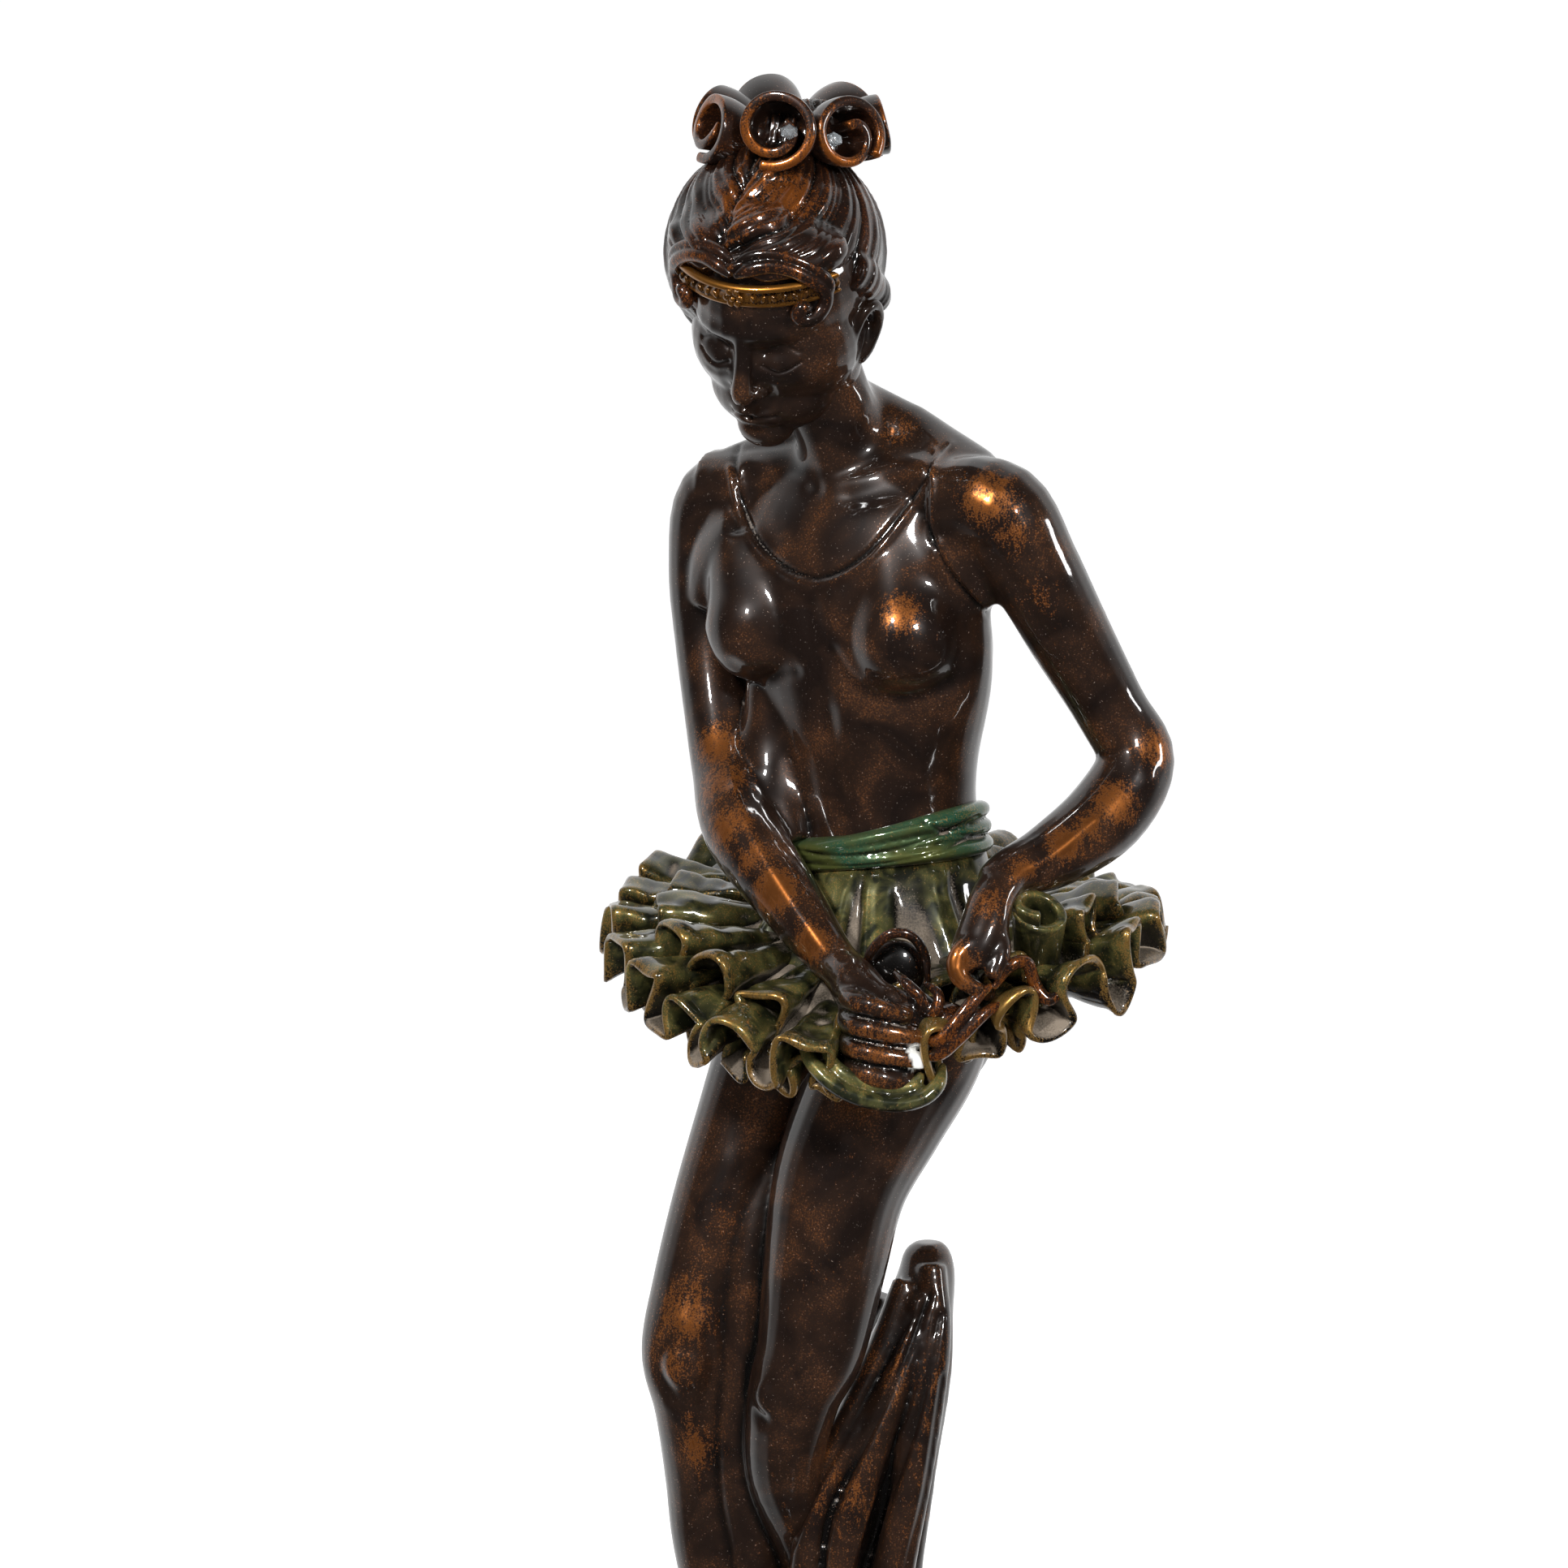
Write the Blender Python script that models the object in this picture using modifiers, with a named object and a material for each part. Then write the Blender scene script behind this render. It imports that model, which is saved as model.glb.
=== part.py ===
"""Ballet dancer statuette: cast sections pinned together, standing on a plate and a turned plinth.

Run with: blender --background --python part.py
The figure's shapes are written in millimetres at a design height of 353 mm, with the ground at
Z 30, and FIGURE brings them to the size asked for.
"""

import math

import bmesh
import bpy
from mathutils import Matrix, Vector

MM = 0.001

# Driving dimensions, in millimetres
FIGURE_HEIGHT = 353.0  # top of the plate to the top of the hair curls
PLINTH_RADIUS = 62.0
PLINTH_HEIGHT = 20.0
PLATE_RADIUS = 56.0
PLATE_HEIGHT = 7.4
FELT_THICKNESS = 1.6
FELT_INSET = 2.5
CLEARANCE = 0.35  # between pieces that meet face to face
CARVE_GAP = 0.5  # between a casting and a neighbour that wraps round it
PIN_CLEARANCE = 0.3
PIN_RADIUS = 2.0
WRIST_PIN_RADIUS = 1.1
STUD_RADIUS = 2.5
STUD_IN_CASTING = 13.0
NUT_FLATS = 8.0
NUT_HEIGHT = 4.0
WASHER_RADIUS = 6.0
WASHER_HEIGHT = 1.0
RECESS_RADIUS = 8.0
RECESS_DEPTH = 9.0
TUTU_RADIUS = 56.5
TUTU_SHEET = 1.8
TUTU_SPIGOT_RADIUS = 7.0
TUTU_COLLAR_RADIUS = 24.0
TUTU_LAYERS = ("tutu_upper_ruffle", "tutu_middle_ruffle", "tutu_lower_ruffle")
LAYER_STEP = 5.0
RUFFLE_FOLDS = 11
RUFFLE_SWING = 4.4
YOKE_PLEATS = 18
CURL_COUNT = 7
CURL_RADIUS = 6.4
CURL_WALL = 2.0
CURL_LENGTH = 7.0
CURL_RING_RADIUS = 17.2
CRYSTAL_RADIUS = 1.7

K = FIGURE_HEIGHT / 353.0
PLINTH_BASE = FELT_THICKNESS + CLEARANCE
PLINTH_TOP = PLINTH_BASE + PLINTH_HEIGHT
PLATE_BASE = PLINTH_TOP + CLEARANCE
GROUND = PLATE_BASE + PLATE_HEIGHT + CLEARANCE
FIGURE = Matrix.Translation((0, 0, (GROUND - 30.0 * K) * MM)) @ Matrix.Scale(K * MM, 4)


def turned(angle, axis):
    return Matrix.Rotation(math.radians(angle), 4, axis)


# Places of the sections inside the figure
HEAD = Matrix.Translation((-21, -6, 337)) @ turned(-29, "Z") @ turned(30, "X") @ turned(7.5, "Y")
TOPKNOT = Matrix.Translation((-18.7, 1, 374.6)) @ turned(8, "X")
WAIST = Matrix.Translation((-1, 4, 232)) @ turned(-9, "Y") @ turned(-25, "Z")
TUTU = Matrix.Translation((0, 2, 213)) @ turned(21.8, "X")

# Patinas and stones: name, base colour, roughness, metallic
BRONZE = ("dark_bronze", (0.045, 0.024, 0.014), 0.25, 0.8)
COPPER = ("rubbed_copper", (0.32, 0.13, 0.04), 0.3, 0.9)
VERDIGRIS = ("green_gold_patina", (0.09, 0.11, 0.04), 0.35, 0.5)
MARBLE = ("black_marble", (0.02, 0.02, 0.022), 0.15, 0.0)
STEEL = ("plated_steel", (0.45, 0.45, 0.46), 0.35, 1.0)
FELT = ("green_felt", (0.02, 0.05, 0.03), 0.95, 0.0)
CRYSTAL = ("clear_crystal", (0.85, 0.88, 0.9), 0.05, 0.0)


# Objects

def clear_scene():
    for obj in list(bpy.data.objects):
        bpy.data.objects.remove(obj)
    for name in ("statuette", "cutters"):
        collection = bpy.data.collections.new(name)
        bpy.context.scene.collection.children.link(collection)
    bpy.data.collections["cutters"].hide_render = True


def material(finish):
    name, colour, roughness, metallic = finish
    made = bpy.data.materials.get(name)
    if made is None:
        made = bpy.data.materials.new(name)
        made.use_nodes = True
        shader = made.node_tree.nodes["Principled BSDF"]
        shader.inputs["Base Color"].default_value = (*colour, 1.0)
        shader.inputs["Roughness"].default_value = roughness
        shader.inputs["Metallic"].default_value = metallic
    return made


def add_object(name, mesh, finish=None):
    """A named piece when it has a finish, and otherwise a cutter."""
    obj = bpy.data.objects.new(name, mesh)
    bpy.data.collections["statuette" if finish else "cutters"].objects.link(obj)
    if finish:
        mesh.materials.clear()
        mesh.materials.append(material(finish))
    else:
        obj.hide_render = True
        obj.display_type = "WIRE"
    return obj


def object_from(name, clay, finish=None, place=FIGURE):
    """An object from a bmesh, put in its place with its faces outwards."""
    bmesh.ops.transform(clay, matrix=place, verts=clay.verts)
    bmesh.ops.recalc_face_normals(clay, faces=clay.faces)
    mesh = bpy.data.meshes.new(name)
    clay.to_mesh(mesh)
    clay.free()
    return add_object(name, mesh, finish)


def baked(obj):
    """Replaces the object's mesh by the one its modifiers give."""
    bpy.context.view_layer.update()
    graph = bpy.context.evaluated_depsgraph_get()
    mesh = bpy.data.meshes.new_from_object(obj.evaluated_get(graph))
    obj.modifiers.clear()
    obj.data = mesh
    return obj


def modify(obj, kind, **settings):
    modifier = obj.modifiers.new(kind.title(), kind)
    for name, value in settings.items():
        setattr(modifier, name, value)
    return modifier


# Clay shapes: closed shells that overlap, which a voxel remesh then joins into one casting

def smooth_rows(stations, steps):
    """The stations, which are rows of numbers, with more rows on a smooth curve between them."""
    rows = [tuple(s) for s in stations]
    before = tuple(2 * p - q for p, q in zip(rows[0], rows[1]))
    after = tuple(2 * p - q for p, q in zip(rows[-1], rows[-2]))
    rows = [before, *rows, after]
    out = []
    for a, b, c, d in zip(rows, rows[1:], rows[2:], rows[3:]):
        for i in range(steps):
            t = i / steps
            out.append(tuple(
                0.5 * (2 * q + (r - p) * t + (2 * p - 5 * q + 4 * r - s) * t * t
                       + (3 * q - p - 3 * r + s) * t ** 3)
                for p, q, r, s in zip(a, b, c, d)
            ))
    return [*out, rows[-2]]


def loft(clay, matrices, sides):
    """A closed shell through a row of placed circles. Returns its vertices."""
    made, rings = [], []
    for matrix in matrices:
        verts = bmesh.ops.create_circle(clay, radius=1, segments=sides, matrix=matrix)["verts"]
        rings.append(list({edge for vert in verts for edge in vert.link_edges}))
        made += verts
    for lower, upper in zip(rings, rings[1:]):
        bmesh.ops.bridge_loops(clay, edges=lower + upper)
    for end in (rings[0], rings[-1]):
        bmesh.ops.edgeloop_fill(clay, edges=end)
    return made


def limb(clay, stations, steps=3, sides=12):
    """A round limb through (x, y, z, radius) stations."""
    rows = smooth_rows(stations, steps)
    points = [Vector(row[:3]) for row in rows]
    matrices = []
    for i, row in enumerate(rows):
        along = points[min(i + 1, len(rows) - 1)] - points[max(i - 1, 0)]
        turn = along.to_track_quat("Z", "Y").to_matrix().to_4x4()
        matrices.append(Matrix.Translation(points[i]) @ turn @ Matrix.Scale(row[3], 4))
    loft(clay, matrices, sides)


def trunk(clay, stations, steps=3, sides=20):
    """A body of level sections, each (x, y, z, half width, half depth, yaw)."""
    matrices = [
        Matrix.Translation((x, y, z)) @ turned(yaw, "Z") @ Matrix.Diagonal((width, depth, 1, 1))
        for x, y, z, width, depth, yaw in smooth_rows(stations, steps)
    ]
    return loft(clay, matrices, sides)


def ball(clay, centre, radii, turn=Matrix.Identity(4)):
    matrix = Matrix.Translation(centre) @ turn @ Matrix.Diagonal((*radii, 1))
    bmesh.ops.create_uvsphere(clay, u_segments=16, v_segments=10, radius=1, matrix=matrix)


def cast(name, clay, finish, triangles, voxel=0.9, soften=4):
    """Joins a clay's shells into one smooth casting of about that many triangles."""
    obj = object_from(name, clay, finish)
    modify(obj, "REMESH", mode="VOXEL", voxel_size=voxel * K * MM)
    modify(obj, "SMOOTH", factor=0.5, iterations=soften)
    modify(obj, "TRIANGULATE")
    baked(obj)
    modify(obj, "DECIMATE", ratio=min(1.0, triangles / len(obj.data.polygons)))
    return baked(obj)


# Cutting and joining

def cut(obj, cutters, use_self=False):
    for cutter in cutters:
        modify(obj, "BOOLEAN", operation="DIFFERENCE", object=cutter, use_self=use_self)
    baked(obj)
    for cutter in cutters:
        bpy.data.objects.remove(cutter)
    return obj


def grown(obj, gap=CARVE_GAP):
    """A cutter of the object's shape, larger by the gap all round."""
    cutter = add_object(obj.name + ".grown", obj.data.copy())
    modify(cutter, "DISPLACE", strength=gap * MM, mid_level=0.0)
    return baked(cutter)


def carve(obj, *neighbours, near=None):
    """Cuts room for the neighbours, and drops any crumb cut loose from the piece at near."""
    cut(obj, [grown(n) for n in neighbours], use_self=True)
    if near is not None:
        keep_piece(obj, near)
    return obj


def keep_piece(obj, near):
    """Keeps only the part of the mesh that hangs together with its vertex closest to a place."""
    clay = bmesh.new()
    clay.from_mesh(obj.data)
    place = FIGURE @ Vector(near)
    kept, front = set(), [min(clay.verts, key=lambda v: (v.co - place).length)]
    while front:
        vert = front.pop()
        if vert not in kept:
            kept.add(vert)
            front += [edge.other_vert(vert) for edge in vert.link_edges]
    bmesh.ops.delete(clay, geom=[v for v in clay.verts if v not in kept], context="VERTS")
    clay.to_mesh(obj.data)
    clay.free()


def block(point, normal, width, depth, back=0.0):
    """A square cutter whose face is centred back from the point and which reaches along the normal."""
    clay = bmesh.new()
    turn = Vector(normal).to_track_quat("Z", "Y").to_matrix().to_4x4()
    centre = Matrix.Translation(Vector(point)) @ turn @ Matrix.Translation((0, 0, depth / 2 - back))
    bmesh.ops.create_cube(clay, size=1, matrix=centre @ Matrix.Diagonal((width, width, depth, 1)))
    return object_from("block", clay)


def butt_joint(inner, outer, point, normal, width, depth):
    """Parts two overlapping castings at a plane, the outer one being on the normal's side."""
    cut(inner, [block(point, normal, width, depth, CLEARANCE / 2 / K)])
    cut(outer, [block(point, -Vector(normal), width, depth, CLEARANCE / 2 / K)])


def rod(name, radius, start, end, finish=None, sides=16):
    """A round bar between two places given in metres, with its radius in millimetres."""
    clay = bmesh.new()
    along = end - start
    turn = along.to_track_quat("Z", "Y").to_matrix().to_4x4()
    bmesh.ops.create_cone(
        clay, cap_ends=True, segments=sides, radius1=radius * MM, radius2=radius * MM,
        depth=along.length, matrix=Matrix.Translation((start + end) / 2) @ turn,
    )
    return object_from(name, clay, finish, Matrix.Identity(4))


def pin(name, start, end, radius, holders):
    """A steel dowel between two design places, and its blind holes in the holders."""
    start, end = FIGURE @ Vector(start), FIGURE @ Vector(end)
    rod(name, radius, start, end, STEEL)
    past = (end - start).normalized() * 2 * PIN_CLEARANCE * MM
    for holder in holders:
        cut(holder, [rod("bore", radius + PIN_CLEARANCE, start - past, end + past)])


# The castings

def make_head():
    clay = bmesh.new()
    ball(clay, (0, 4, 6), (17.5, 21.5, 18.5))
    ball(clay, (0, -3.5, -6), (13.6, 14.6, 15))
    ball(clay, (0, -9, -17), (9.5, 8.6, 7.6))
    ball(clay, (0, -13.2, -21.4), (4.6, 4.2, 4.2))
    for side in (-1, 1):
        ball(clay, (side * 8.6, -10.6, -8.4), (4.6, 5, 5.4))  # cheek
        ball(clay, (side * 6.2, -14.2, -1.2), (3.3, 3.2, 2.6))  # eyeball with its lids
        ball(clay, (side * 6.4, -15.3, 3.4), (5, 2.6, 1.5))  # brow
        ball(clay, (side * 1.9, -19.4, -11.2), (1.5, 1.9, 1.3))  # nostril
        ball(clay, (side * 16.4, 3.4, -4.8), (1.8, 3.4, 5.4), turned(-12, "X"))  # ear
    limb(clay, [(0, -16.6, 3, 1.5), (0, -19, -4, 1.6), (0, -20.8, -10, 2)], 3, 8)
    ball(clay, (0, -17.4, -15.6), (3.9, 1.9, 1.1))
    ball(clay, (0, -16.9, -17.8), (3.3, 1.8, 1.2))
    bmesh.ops.transform(clay, matrix=HEAD, verts=clay.verts)
    limb(clay, [(-4, 7, 296, 11), (-5.5, 5.5, 303, 9.6), (-9, 2, 314, 8.9), (-15, -3, 327, 9.2)])
    return cast("head", clay, BRONZE, 900, 0.7, 3)


def make_hair():
    clay = bmesh.new()
    ball(clay, (-21.9, -2, 348.3), (22.4, 22.4, 22.4))
    limb(clay, [(-21, -2, 358, 17.5), (-19.5, 0.5, 367, 13), (-18.7, 1, 373, 11.4), (-18.7, 1.4, 376.5, 7.5)])
    limb(clay, [(-2.6, 6, 327, 4.6), (-9, 15, 327.5, 5), (-18, 19, 331, 5), (-28, 17, 334, 4.4)])
    for side in (-1, 1):
        ball(clay, HEAD @ Vector((side * 17.6, -1.5, 3.4)), (4.6, 5.4, 5.4))
    return cast("hair_shell", clay, BRONZE, 480, 0.9, 3)


def make_headband():
    clay = bmesh.new()
    stations = [(-2.3, 21.8), (-1.2, 23), (1.2, 23), (2.3, 21.8)]
    matrices = [
        Matrix.Translation((0, 6.7, 14 + z)) @ Matrix.Diagonal((r - 0.6, r + 0.8, 1, 1))
        for z, r in stations
    ]
    loft(clay, matrices, 40)
    band = object_from("headband", clay, COPPER, FIGURE @ HEAD)
    clay = bmesh.new()
    core = Matrix.Translation((0, 6.7, 14)) @ Matrix.Diagonal((20.2, 21.6, 1, 1))
    loft(clay, [Matrix.Translation((0, 0, z)) @ core for z in (-4, 4)], 40)
    return cut(band, [object_from("band_core", clay, None, FIGURE @ HEAD)])


def make_curl(number):
    """A rolled ribbon, with its axis pointing out of the topknot."""
    angle = -98 + 360 / CURL_COUNT * number
    clay = bmesh.new()
    bmesh.ops.create_grid(clay, x_segments=16, y_segments=1, size=0.5)
    turns, middle = 1.22, CURL_RADIUS - CURL_WALL / 2
    for vert in clay.verts:
        along, across = vert.co.x + 0.5, vert.co.y
        sweep = math.radians(-100) + 2 * math.pi * turns * along
        radius = middle * (1 - 0.62 * max(0.0, along - 0.32) / 0.68)
        vert.co = (CURL_LENGTH * across, radius * math.cos(sweep), radius * math.sin(sweep))
    place = FIGURE @ TOPKNOT @ turned(angle, "Z") @ Matrix.Translation((CURL_RING_RADIUS, 0, 0))
    curl = object_from(f"topknot_curl_{number + 1}", clay, COPPER, place)
    modify(curl, "SOLIDIFY", thickness=CURL_WALL * K * MM, offset=0.0)
    return baked(curl)


def make_crystal(name, curl_number):
    """A stone set on the lower lip of a curl."""
    angle = math.radians(-98 + 360 / CURL_COUNT * curl_number)
    out = CURL_RING_RADIUS + CURL_LENGTH / 2 - 1.0
    place = TOPKNOT @ Vector((out * math.cos(angle), out * math.sin(angle), 0))
    clay = bmesh.new()
    bmesh.ops.create_icosphere(
        clay, subdivisions=2, radius=CRYSTAL_RADIUS,
        matrix=Matrix.Translation(place + Vector((0, 0, -CURL_RADIUS + CURL_WALL + CRYSTAL_RADIUS))),
    )
    return object_from(name, clay, CRYSTAL)


def make_torso():
    clay = bmesh.new()
    trunk(clay, [
        (-1, 4, 229, 21, 16.5, -27), (-1, 4, 240, 20.5, 16, -31), (-1.6, 3.6, 250, 22, 16.8, -35),
        (-2.6, 2.6, 262, 25.5, 18, -35), (-3.4, 2, 273, 27.5, 18.4, -35),
        (-5, 2.4, 285, 27, 16, -35), (-6, 2.6, 295, 26.5, 13, -35), (-6, 3, 302, 22, 10, -35),
        (-5.5, 4, 307, 12, 8.5, -35),
    ])
    ball(clay, (4.6, -16.6, 272.6), (11, 11, 10.4))
    ball(clay, (-24.6, 3.4, 270.8), (11, 11, 10.4))
    limb(clay, [(-6, 4, 304, 8), (6, -5, 303, 7), (20, -16, 299.5, 9)])
    limb(clay, [(-7, 4, 304, 8), (-18, 11, 303, 7), (-33, 20.5, 299, 9)])
    limb(clay, [(-5, 9, 312, 7), (5, 4, 307, 6.5), (15, -6, 301, 7)])
    limb(clay, [(-6, 9, 312, 7), (-15, 14, 306, 6.5), (-27, 19, 301, 7)])
    return cast("torso", clay, BRONZE, 700, 0.9, 4)


LEFT_ARM = (
    (14, -11.5, 300, 9), (21.3, -17.6, 298, 9.4), (27.5, -17, 287, 8.9), (34.5, -14, 274, 8.1),
    (42.5, -11, 259, 7.4), (47.3, -11, 249.5, 7.2), (42, -17, 237.5, 7.7), (32, -25, 230, 7),
    (21, -33, 225.5, 4.9), (17.5, -37, 222, 4.6),
)
RIGHT_ARM = (
    (-27, 16, 299.5, 8.6), (-34.7, 21, 297, 8.7), (-36, 20.5, 284, 8), (-35.5, 18.5, 270, 7.3),
    (-33, 13, 256, 6.8), (-31, 6.5, 245, 6.9), (-28, -5, 234, 7.5), (-19, -18, 221.5, 7),
    (-9.5, -29, 209.5, 4.9), (-7, -32.4, 206.4, 4.6),
)


def make_fist(name, centre, turn, finger_radius=2.1):
    """A closed hand of the figure: a palm, four stacked fingers bent over it and a thumb."""
    clay = bmesh.new()
    ball(clay, (1.2, 1.2, 0), (4.2, 4.2, 7.4))
    for i, length in enumerate((0.92, 1, 0.96, 0.84)):
        z = 5.7 - 3.7 * i
        limb(clay, [
            (5, 1, z, finger_radius), (3.4, -4.4 * length, z, finger_radius),
            (-2.2, -6.2 * length, z - 0.2, finger_radius), (-5.2, -2.4, z - 0.4, finger_radius * 0.9),
        ], 3, 10)
    limb(clay, [(0, 2.4, 5, 2.4), (-3.4, 0.4, 7.4, 2.3), (-4.2, -3.6, 7.2, 2.1)], 3, 10)
    bmesh.ops.transform(clay, matrix=Matrix.Translation(centre) @ turn, verts=clay.verts)
    return clay


def make_hands():
    clay = make_fist("right_hand", (-1.4, -38, 199.4), turned(-12, "Z") @ turned(14, "Y"))
    limb(clay, [(-8, -31.2, 207.5, 4.6), (-4.5, -35, 203.5, 5), (-0.8, -37, 200, 4.6)])
    right = cast("right_hand", clay, BRONZE, 330, 0.55, 2)
    clay = make_fist("left_hand", (15.4, -41.5, 212), turned(18, "Z") @ turned(-16, "Y"), 1.8)
    limb(clay, [(19.2, -35.2, 223.6, 4.6), (16.6, -39, 219.5, 4.6), (15.4, -41, 214, 4)])
    left = cast("left_hand", clay, BRONZE, 330, 0.55, 2)
    return right, left


def make_sash():
    clay = bmesh.new()
    matrices = [
        Matrix.Translation((0, 0, z)) @ Matrix.Diagonal((21.2 + r, 16.6 + r, 1, 1))
        for z, r in ((-3.3, 0), (-2.9, 1.3), (-1.5, 1.4), (-1.05, 0.7), (-0.6, 1.5), (0.6, 1.5),
                     (1.05, 0.7), (1.5, 1.3), (2.9, 1.1), (3.3, 0))
    ]
    loft(clay, matrices, 24)
    return object_from("waist_sash", clay, VERDIGRIS, FIGURE @ WAIST)


def make_yoke():
    clay = bmesh.new()
    top = WAIST @ Matrix.Translation((0, 0, -3.3 - CLEARANCE / K)) @ Matrix.Diagonal((21.2, 16.6, 1, 1))
    lower = [
        Matrix.Translation((x, y, z)) @ turned(-18, "Z") @ Matrix.Diagonal((w, d, 1, 1))
        for x, y, z, w, d in ((-1.5, 3.6, 221, 24.4, 20), (-2.2, 3, 213, 28.4, 24.4), (-2.6, 3, 203, 32, 28))
    ]
    verts = loft(clay, [top, *lower], 4 * YOKE_PLEATS)
    axis = Vector((-2, 3.5, 0))
    for vert in verts:
        out = Vector((vert.co.x, vert.co.y, 0)) - axis
        drop = max(0.0, min(1.0, (226 - vert.co.z) / 10))
        fold = math.cos(YOKE_PLEATS * math.atan2(out.y, out.x))
        vert.co += out.normalized() * fold * 1.1 * drop
    return object_from("skirt_yoke", clay, VERDIGRIS)


def make_ruffle(number):
    """A tutu layer: a flat collar that carries a swinging ruffled sheet."""
    level = -LAYER_STEP * number
    reach = TUTU_RADIUS / K * (1, 0.985, 0.93)[number]
    sides = 4 * RUFFLE_FOLDS
    clay = bmesh.new()
    rings = []
    for radius in (TUTU_COLLAR_RADIUS - 2, 40, reach):
        verts = bmesh.ops.create_circle(clay, radius=radius, segments=sides)["verts"]
        rings.append(list({edge for vert in verts for edge in vert.link_edges}))
    for inner, outer in zip(rings, rings[1:]):
        bmesh.ops.bridge_loops(clay, edges=inner + outer)
    for vert in clay.verts:
        radius = math.hypot(vert.co.x, vert.co.y)
        angle = math.atan2(vert.co.y, vert.co.x)
        out = max(0.0, (radius - TUTU_COLLAR_RADIUS) / (reach - TUTU_COLLAR_RADIUS))
        front = max(0.0, -math.sin(angle)) ** 2
        swing = RUFFLE_SWING * out ** 0.8 * math.sin(RUFFLE_FOLDS * angle + 0.4)
        lean = 0.08 * out * math.cos(RUFFLE_FOLDS * angle + 0.4)
        vert.co = (
            radius * math.cos(angle + lean), radius * math.sin(angle + lean),
            level + 2.3 + swing - (2.5 * out + 6 * front * out * out),
        )
    sheet = object_from(TUTU_LAYERS[number], clay, VERDIGRIS, FIGURE @ TUTU)
    modify(sheet, "SOLIDIFY", thickness=TUTU_SHEET * K * MM, offset=0.0)
    modify(sheet, "TRIANGULATE")
    baked(sheet)
    collar = bmesh.new()
    bmesh.ops.create_cone(
        collar, cap_ends=True, segments=32, radius1=TUTU_COLLAR_RADIUS, radius2=TUTU_COLLAR_RADIUS,
        depth=LAYER_STEP - CLEARANCE / K, matrix=Matrix.Translation((0, 0, level + 2.5)),
    )
    collar = object_from("collar", collar, None, FIGURE @ TUTU)
    modify(sheet, "BOOLEAN", operation="UNION", object=collar)
    baked(sheet)
    bpy.data.objects.remove(collar)
    return sheet


def make_legs():
    clay = bmesh.new()
    trunk(clay, [(-3, 4, 204, 26, 20, -18), (-3.5, 3.5, 196, 27, 20, -18), (-5, 3.5, 188, 22, 15, -18)])
    limb(clay, [
        (-14, 10.5, 200, 14.5), (-21, 8, 187, 13), (-26.5, 5, 174, 11.5), (-32, 2, 158, 10.7),
        (-36, -0.5, 142, 10.2), (-38.4, -3.5, 128, 9.4), (-35.8, 0, 118.7, 8.6), (-33, 4, 102, 9.5),
        (-32.6, 4.5, 88.8, 8.8), (-31, 4, 65, 6.4), (-30, 4, 47, 5.2), (-30, 4, 38, 5.4),
    ])
    limb(clay, [(-28.6, 8.5, 35.4, 4.6), (-31, 2, 37, 5.6), (-34, -7, 35, 5), (-37.4, -17, 32.6, 3.4)])
    right = cast("standing_leg", clay, BRONZE, 560, 1.0, 3)
    clay = bmesh.new()
    limb(clay, [
        (9.4, -3.4, 204, 15), (4.5, -7, 192, 16.4), (-0.7, -10.6, 180, 16.2), (-8.3, -13, 166, 14.2),
        (-11.9, -14.6, 150, 12.3), (-14.6, -15, 134, 10.8), (-18.6, -14, 123, 9.4),
        (-20.4, -8, 107, 7.6), (-15, -1, 90, 6.8), (-10, 4, 72, 6),
    ])
    return right, cast("left_leg", clay, BRONZE, 280, 1.0, 3)


def make_support():
    clay = bmesh.new()
    trunk(clay, [
        (8.4, 6, 150, 4, 5, 0), (8, 6, 144, 6.4, 9, 0), (5.6, 6, 130, 9, 13, 0),
        (1, 6, 112, 14, 15, 0), (-4.6, 6, 88, 18, 16, 0), (-7, 5, 60, 19, 17, 0),
        (-6.6, 5, 31, 21, 20, 0),
    ])
    for fold in (
        [(10, -1, 146, 3.4), (11, -6, 128, 4.4), (8, -9, 100, 4.6), (6, -10, 66, 4.6), (9, -12, 32, 5.4)],
        [(4, -2, 143, 3.2), (1, -7, 122, 4), (-7, -10, 98, 4.4), (-10, -11, 66, 4.6), (-8, -13, 32, 5.4)],
        [(0, 2, 138, 3), (-10, 0, 112, 4), (-19, -3, 90, 4.2), (-22, -4, 62, 4.4), (-22, -6, 32, 5.4)],
        [(12, 8, 144, 3), (15, 10, 118, 3.6), (12, 12, 92, 4.2), (11, 12, 62, 4.4), (13, 13, 32, 5)],
    ):
        limb(clay, fold, 3, 10)
    return cast("draped_support", clay, BRONZE, 460, 1.2, 3)


# The base

def turned_profile(name, finish, profile, steps):
    """A body turned about Z from (radius, height) points, top to bottom on the outer side."""
    clay = bmesh.new()
    verts = [clay.verts.new((r * MM, 0, z * MM)) for r, z in profile]
    for upper, lower in zip(verts, verts[1:]):
        clay.edges.new((upper, lower))
    mesh = bpy.data.meshes.new(name)
    clay.to_mesh(mesh)
    clay.free()
    obj = add_object(name, mesh, finish)
    modify(obj, "SCREW", axis="Z", steps=steps, render_steps=steps, use_merge_vertices=True,
           merge_threshold=0.0001)
    return baked(obj)


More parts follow.
